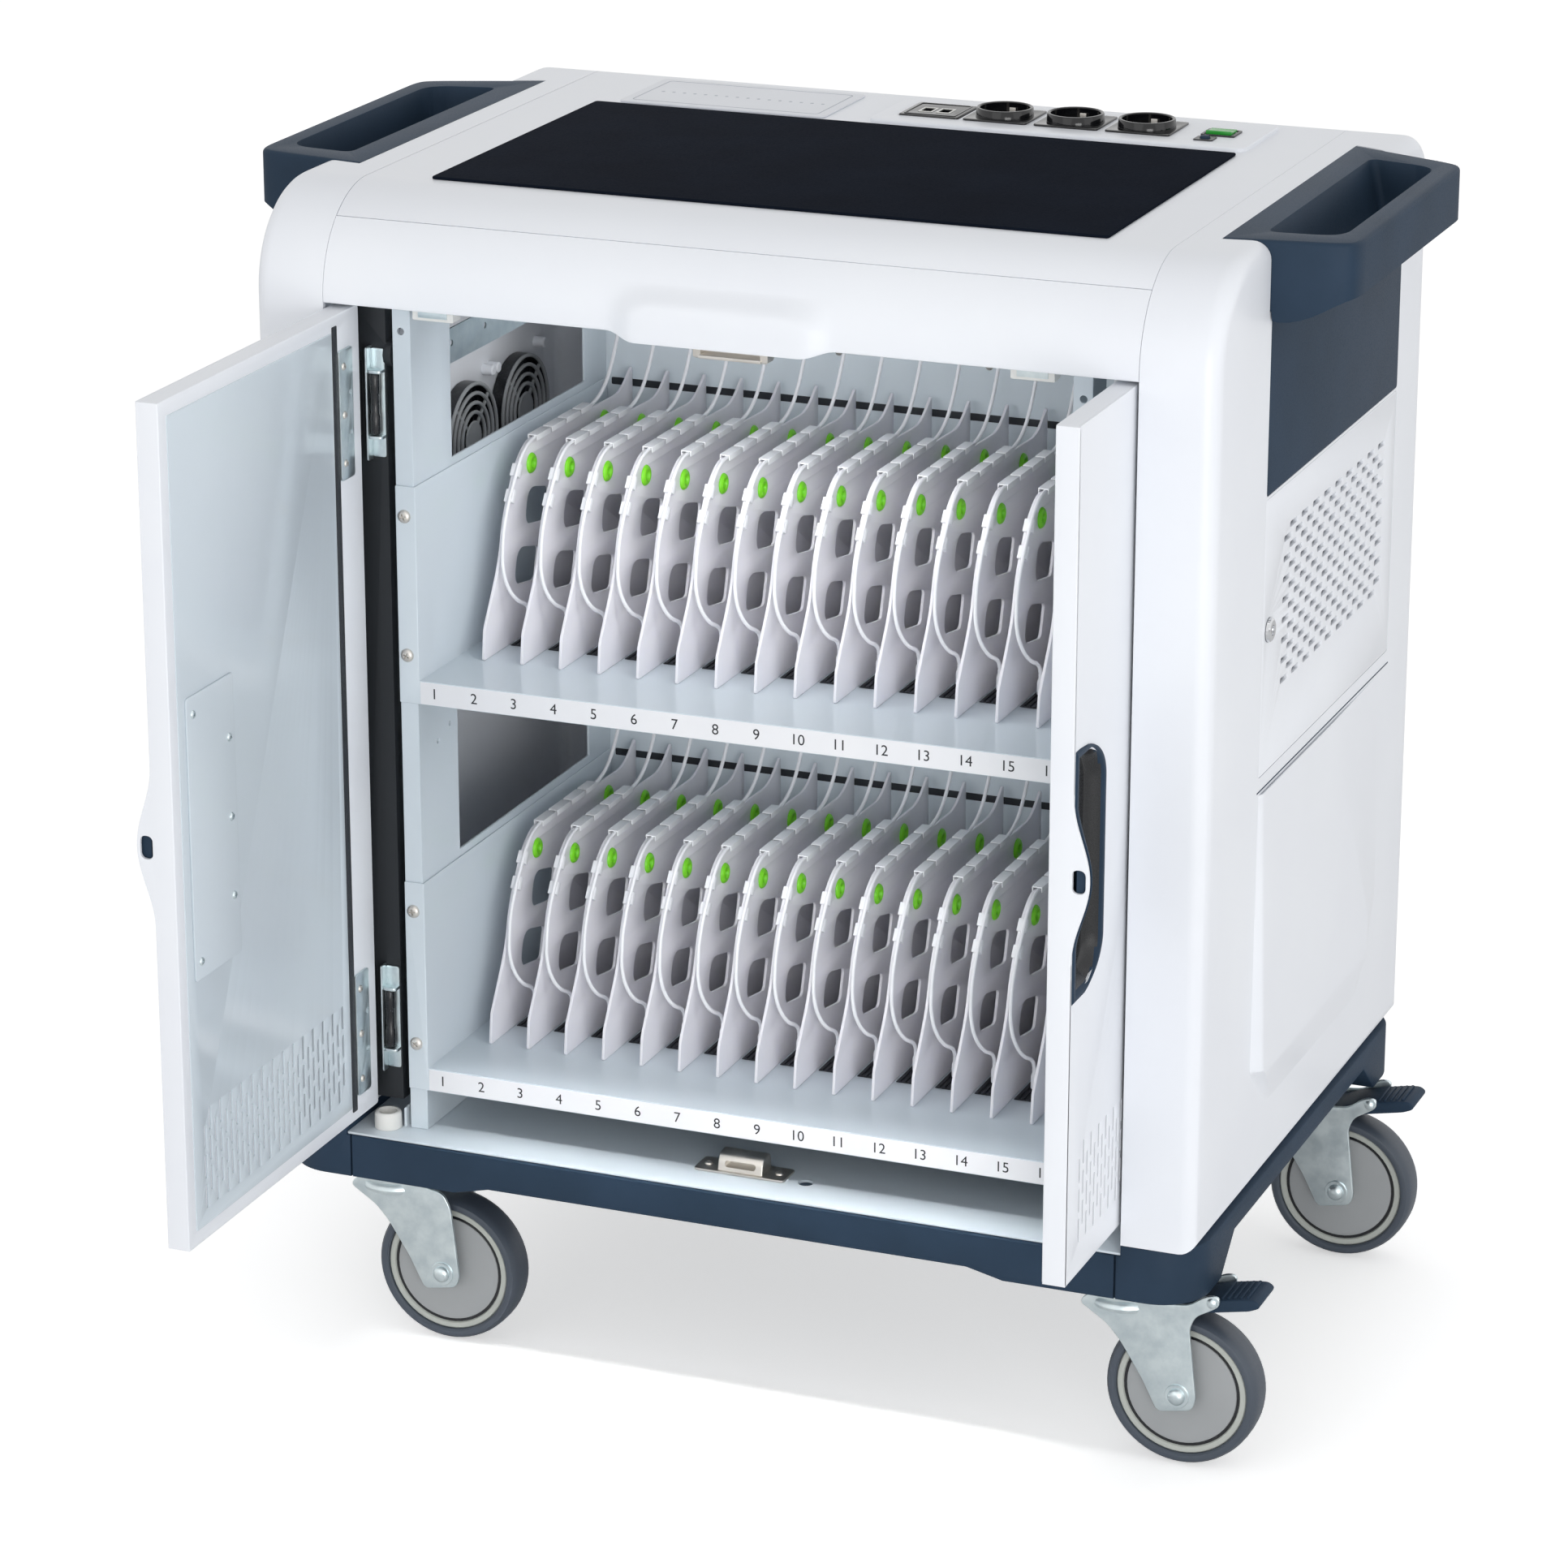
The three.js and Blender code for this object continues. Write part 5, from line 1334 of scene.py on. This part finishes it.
collar_profile = [(18, 124), (26, 124), (29, 125.6), (30.2, 128.6), (29.4, 132), (27, 134.4), (18, 134.4),
                  (18, 124)]
race_profile = [(18, 135), (24.6, 135), (25.4, 137), (25.4, 139), (28, 140.2), (29, 142.6), (28.4, 145.4),
                (26, 147.4), (18, 147.4), (18, 135)]
rivet_profile = [(0, 2.4), (2.4, 2.1), (3.8, 1.1), (4.2, 0), (0, 0)]
trail, axle_height = 50, 61.73
fork_sides = (("-y", -24), ("y", 24))
caster_places = {"front_left": (-312, 62), "rear_left": (-312, 495), "front_right": (312, 62),
                 "rear_right": (312, 495)}
for label, (x, y) in caster_places.items():
    mount = dressed_copy(f"{label}_caster_mount", f"{label}_swivel_plate", 0.8)
    race = turned("race", race_profile, "z", (x, y, 0), 48)
    dress(joined(f"{label}_swivel_race", [mount, race]), zinc,
          stands_for=[f"{label}_caster_mount"])
    braked = label.endswith("right")
    outline = rounded([(x + a, b) for a, b in leg_line + (eared_top if braked else plain_top)], 5, 4)
    fork = [cut_sheet("leg", [outline], "y", y + low, y + low + 3, 0.9, 2) for low in (-24, 21)]
    fork.append(turned("collar", collar_profile, "z", (x, y, 0), 48))
    fork.append(block("crown", x - 24, x + 32, y - 22, y + 22, 131.5, 135, 0.6, 2))
    fork += [turned("bolt", bolt_profile, axis, (x + trail, y + dy, axle_height), 28)
             for axis, dy in fork_sides]
    if braked:
        fork += [turned("rivet", rivet_profile, axis, (x + 76, y + dy, 143.6), 20)
                 for axis, dy in fork_sides]
    dress(joined(f"{label}_fork_and_bolts", fork), zinc, f"{label}_fork", [f"{label}_caster_fork"])
    centre = (x + trail, y, axle_height)
    disc = turned(f"{label}_wheel_disc", disc_profile, "y", centre, 56)
    dress(disc, disc_grey, f"{label}_wheel", [f"{label}_caster_hub"])
    # The black floor of the shallow groove is painted shade, a dark line between disc and ring.
    dress(turned(f"{label}_wheel_groove_shade", groove_profile, "y", centre, 56), black_abs_and_shade, f"{label}_wheel")
    dress(turned(f"{label}_wheel_ring", ring_profile, "y", centre, 56), ring_grey, f"{label}_wheel")
    tyre = turned(f"{label}_tyre", tyre_profile, "y", centre, 64)
    dress(tyre, tyre_rubber, f"{label}_wheel", [f"{label}_caster_tyre"])
pedal_line = [(38, 127.5), (46, 127), (62, 131), (76, 134), (104, 139.6), (112, 143), (112.6, 146.6),
              (108, 149.6), (98, 148.8), (76, 144.3), (60, 140.4), (46, 135.4), (38, 134.4)]
for label in ("front_right", "rear_right"):
    x, y = caster_places[label]
    outline = rounded([(x + a, b) for a, b in pedal_line], 2.4, 3)
    pedal = [cut_sheet("pedal", [outline], "y", y - 20.3, y + 20.3, 1.8, 3)]
    for k in range(5):
        along_pedal = 81 + 5 * k
        height = 144.3 + (148.8 - 144.3) * (along_pedal - 76) / (98 - 76)
        line = rounded(box_line(x + along_pedal, x + along_pedal + 2.4, height - 1, height + 1.3), 0.7, 2)
        pedal.append(cut_sheet("rib", [line], "y", y - 17, y + 17, 0.5, 1))
    dress(joined(f"{label}_brake_pedal", pedal), slate_abs, f"{label}_brake",
          [f"{label}_caster_brake"])
print("casters:", len(caster_places))

# %% [markdown]
# ## Light and floor
# A white sweep in a studio: soft lamps from the front, the right and above, between pale walls that are
# brighter than the ceiling, so that upright sheet and the inside of the cart get more light than the top.
# Four small strips fill the two bays, the fans and the floor pan, as a photographer would hide them there.
# The floor is white paper. To the camera and in reflections the surroundings are plain white, and the
# floor keeps the cart's shadow.

# %% studio
world = bpy.data.worlds.new("studio_sky")
bpy.context.scene.world = world
world.use_nodes = True
world.node_tree.nodes.clear()
rays = add_node(world, "ShaderNodeLightPath", {})
mirrored_rays = add_node(world, "ShaderNodeMath", {"operation": "MAXIMUM"})
world.node_tree.links.new(rays.outputs["Is Glossy Ray"], mirrored_rays.inputs[0])
world.node_tree.links.new(rays.outputs["Is Transmission Ray"], mirrored_rays.inputs[1])
seen = add_node(world, "ShaderNodeMath", {"operation": "MAXIMUM"})
world.node_tree.links.new(rays.outputs["Is Camera Ray"], seen.inputs[0])
world.node_tree.links.new(mirrored_rays.outputs[0], seen.inputs[1])
aim = add_node(world, "ShaderNodeTexCoord", {}).outputs["Generated"]
parts = add_node(world, "ShaderNodeSeparateXYZ", {}, {"Vector": aim})
walls = add_node(world, "ShaderNodeMapRange",
                 {"From Min": 0.0, "From Max": 0.7, "To Min": 1.25, "To Max": 0.5},
                 {"Value": parts.outputs["Z"]})
level = add_node(world, "ShaderNodeMix", {"B": 1.0},
                 {"Factor": seen.outputs[0], "A": walls.outputs["Result"]})
sky = add_node(world, "ShaderNodeBackground", {"Color": (1, 1, 1, 1)},
               {"Strength": level.outputs["Result"]})
add_node(world, "ShaderNodeOutputWorld", {}, {"Surface": sky.outputs["Background"]})


def lamp(name, power, width, height, place, aim):
    """A soft box at a place, turned to what it lights; it lights but isn't seen itself."""
    data = bpy.data.lights.new(name, "AREA")
    data.shape = "RECTANGLE"
    data.energy = power
    data.size, data.size_y = width, height
    box = bpy.data.objects.new(name, data)
    box.location = place
    box.rotation_euler = (Vector(aim) - Vector(place)).to_track_quat("-Z", "Y").to_euler()
    box.visible_camera = False
    bpy.context.collection.objects.link(box)
    return box


lamp("front_soft_box", 8, 2.4, 2.4, (-0.9, -3.2, 2.0), (0, 0, 0.5))
lamp("inner_soft_box", 36, 1.6, 1.6, (2.1, -3.1, 0.75), (0, 0.2, 0.55))
lamp("top_soft_box", 4, 2.2, 2.2, (0.2, 0.2, 3.2), (0, 0.1, 0.9))
lamp("side_soft_box", 5, 2.0, 2.0, (3.0, -0.6, 1.6), (0.3, 0.1, 0.5))
for name, power, width, place, aim in (("upper_bay_strip", 0.44, 0.34, (0, 42, 838), (0, 230, 600)),
                                       ("lower_bay_strip", 0.25, 0.34, (0, 44, 528), (0, 230, 290)),
                                       ("fan_bay_strip", 0.025, 0.2, (-332, 330, 735), (-381, 335, 700)),
                                       ("floor_pan_strip", 0.15, 0.5, (0, -150, 640), (0, -8, 190))):
    strip_lamp = lamp(name, power, width, 0.05, cabinet(*place), cabinet(*aim))
    strip_lamp.visible_glossy = False
# The last strip hangs in front of the cabinet, so its beam is kept narrow and falls on the pan alone.
strip_lamp.data.spread = pi / 8
bpy.ops.object.select_all(action="DESELECT")
bpy.ops.mesh.primitive_plane_add(size=40, location=(0, 0, cad_box[0].z - 0.0005))
floor_sheet = bpy.context.object
floor_sheet.name = "paper_floor"
paper, spot = blank("white_paper")
fibre = add_node(paper, "ShaderNodeTexNoise", {"Scale": 1 / 0.02}, {"Vector": spot})
weave = add_node(paper, "ShaderNodeBump", {"Strength": 0.1, "Distance": 0.0002},
                 {"Height": fibre.outputs["Fac"]})
sight = add_node(paper, "ShaderNodeLightPath", {})
glow = add_node(paper, "ShaderNodeMapRange", {"To Min": 0.0, "To Max": 0.46},
                {"Value": sight.outputs["Is Camera Ray"]})
sheet_shader = add_node(paper, "ShaderNodeBsdfPrincipled",
                        {"Base Color": linear("F4F4F4"), "Roughness": 0.9,
                         "Emission Color": (1, 1, 1, 1)},
                        {"Emission Strength": glow.outputs["Result"], "Normal": weave.outputs["Normal"]})
surfaced(paper, sheet_shader)
floor_sheet.data.materials.append(paper)

# %% [markdown]
# ## The end
# The screw that the others were copied from is removed.

# %% finish
bpy.data.objects.remove(screw)
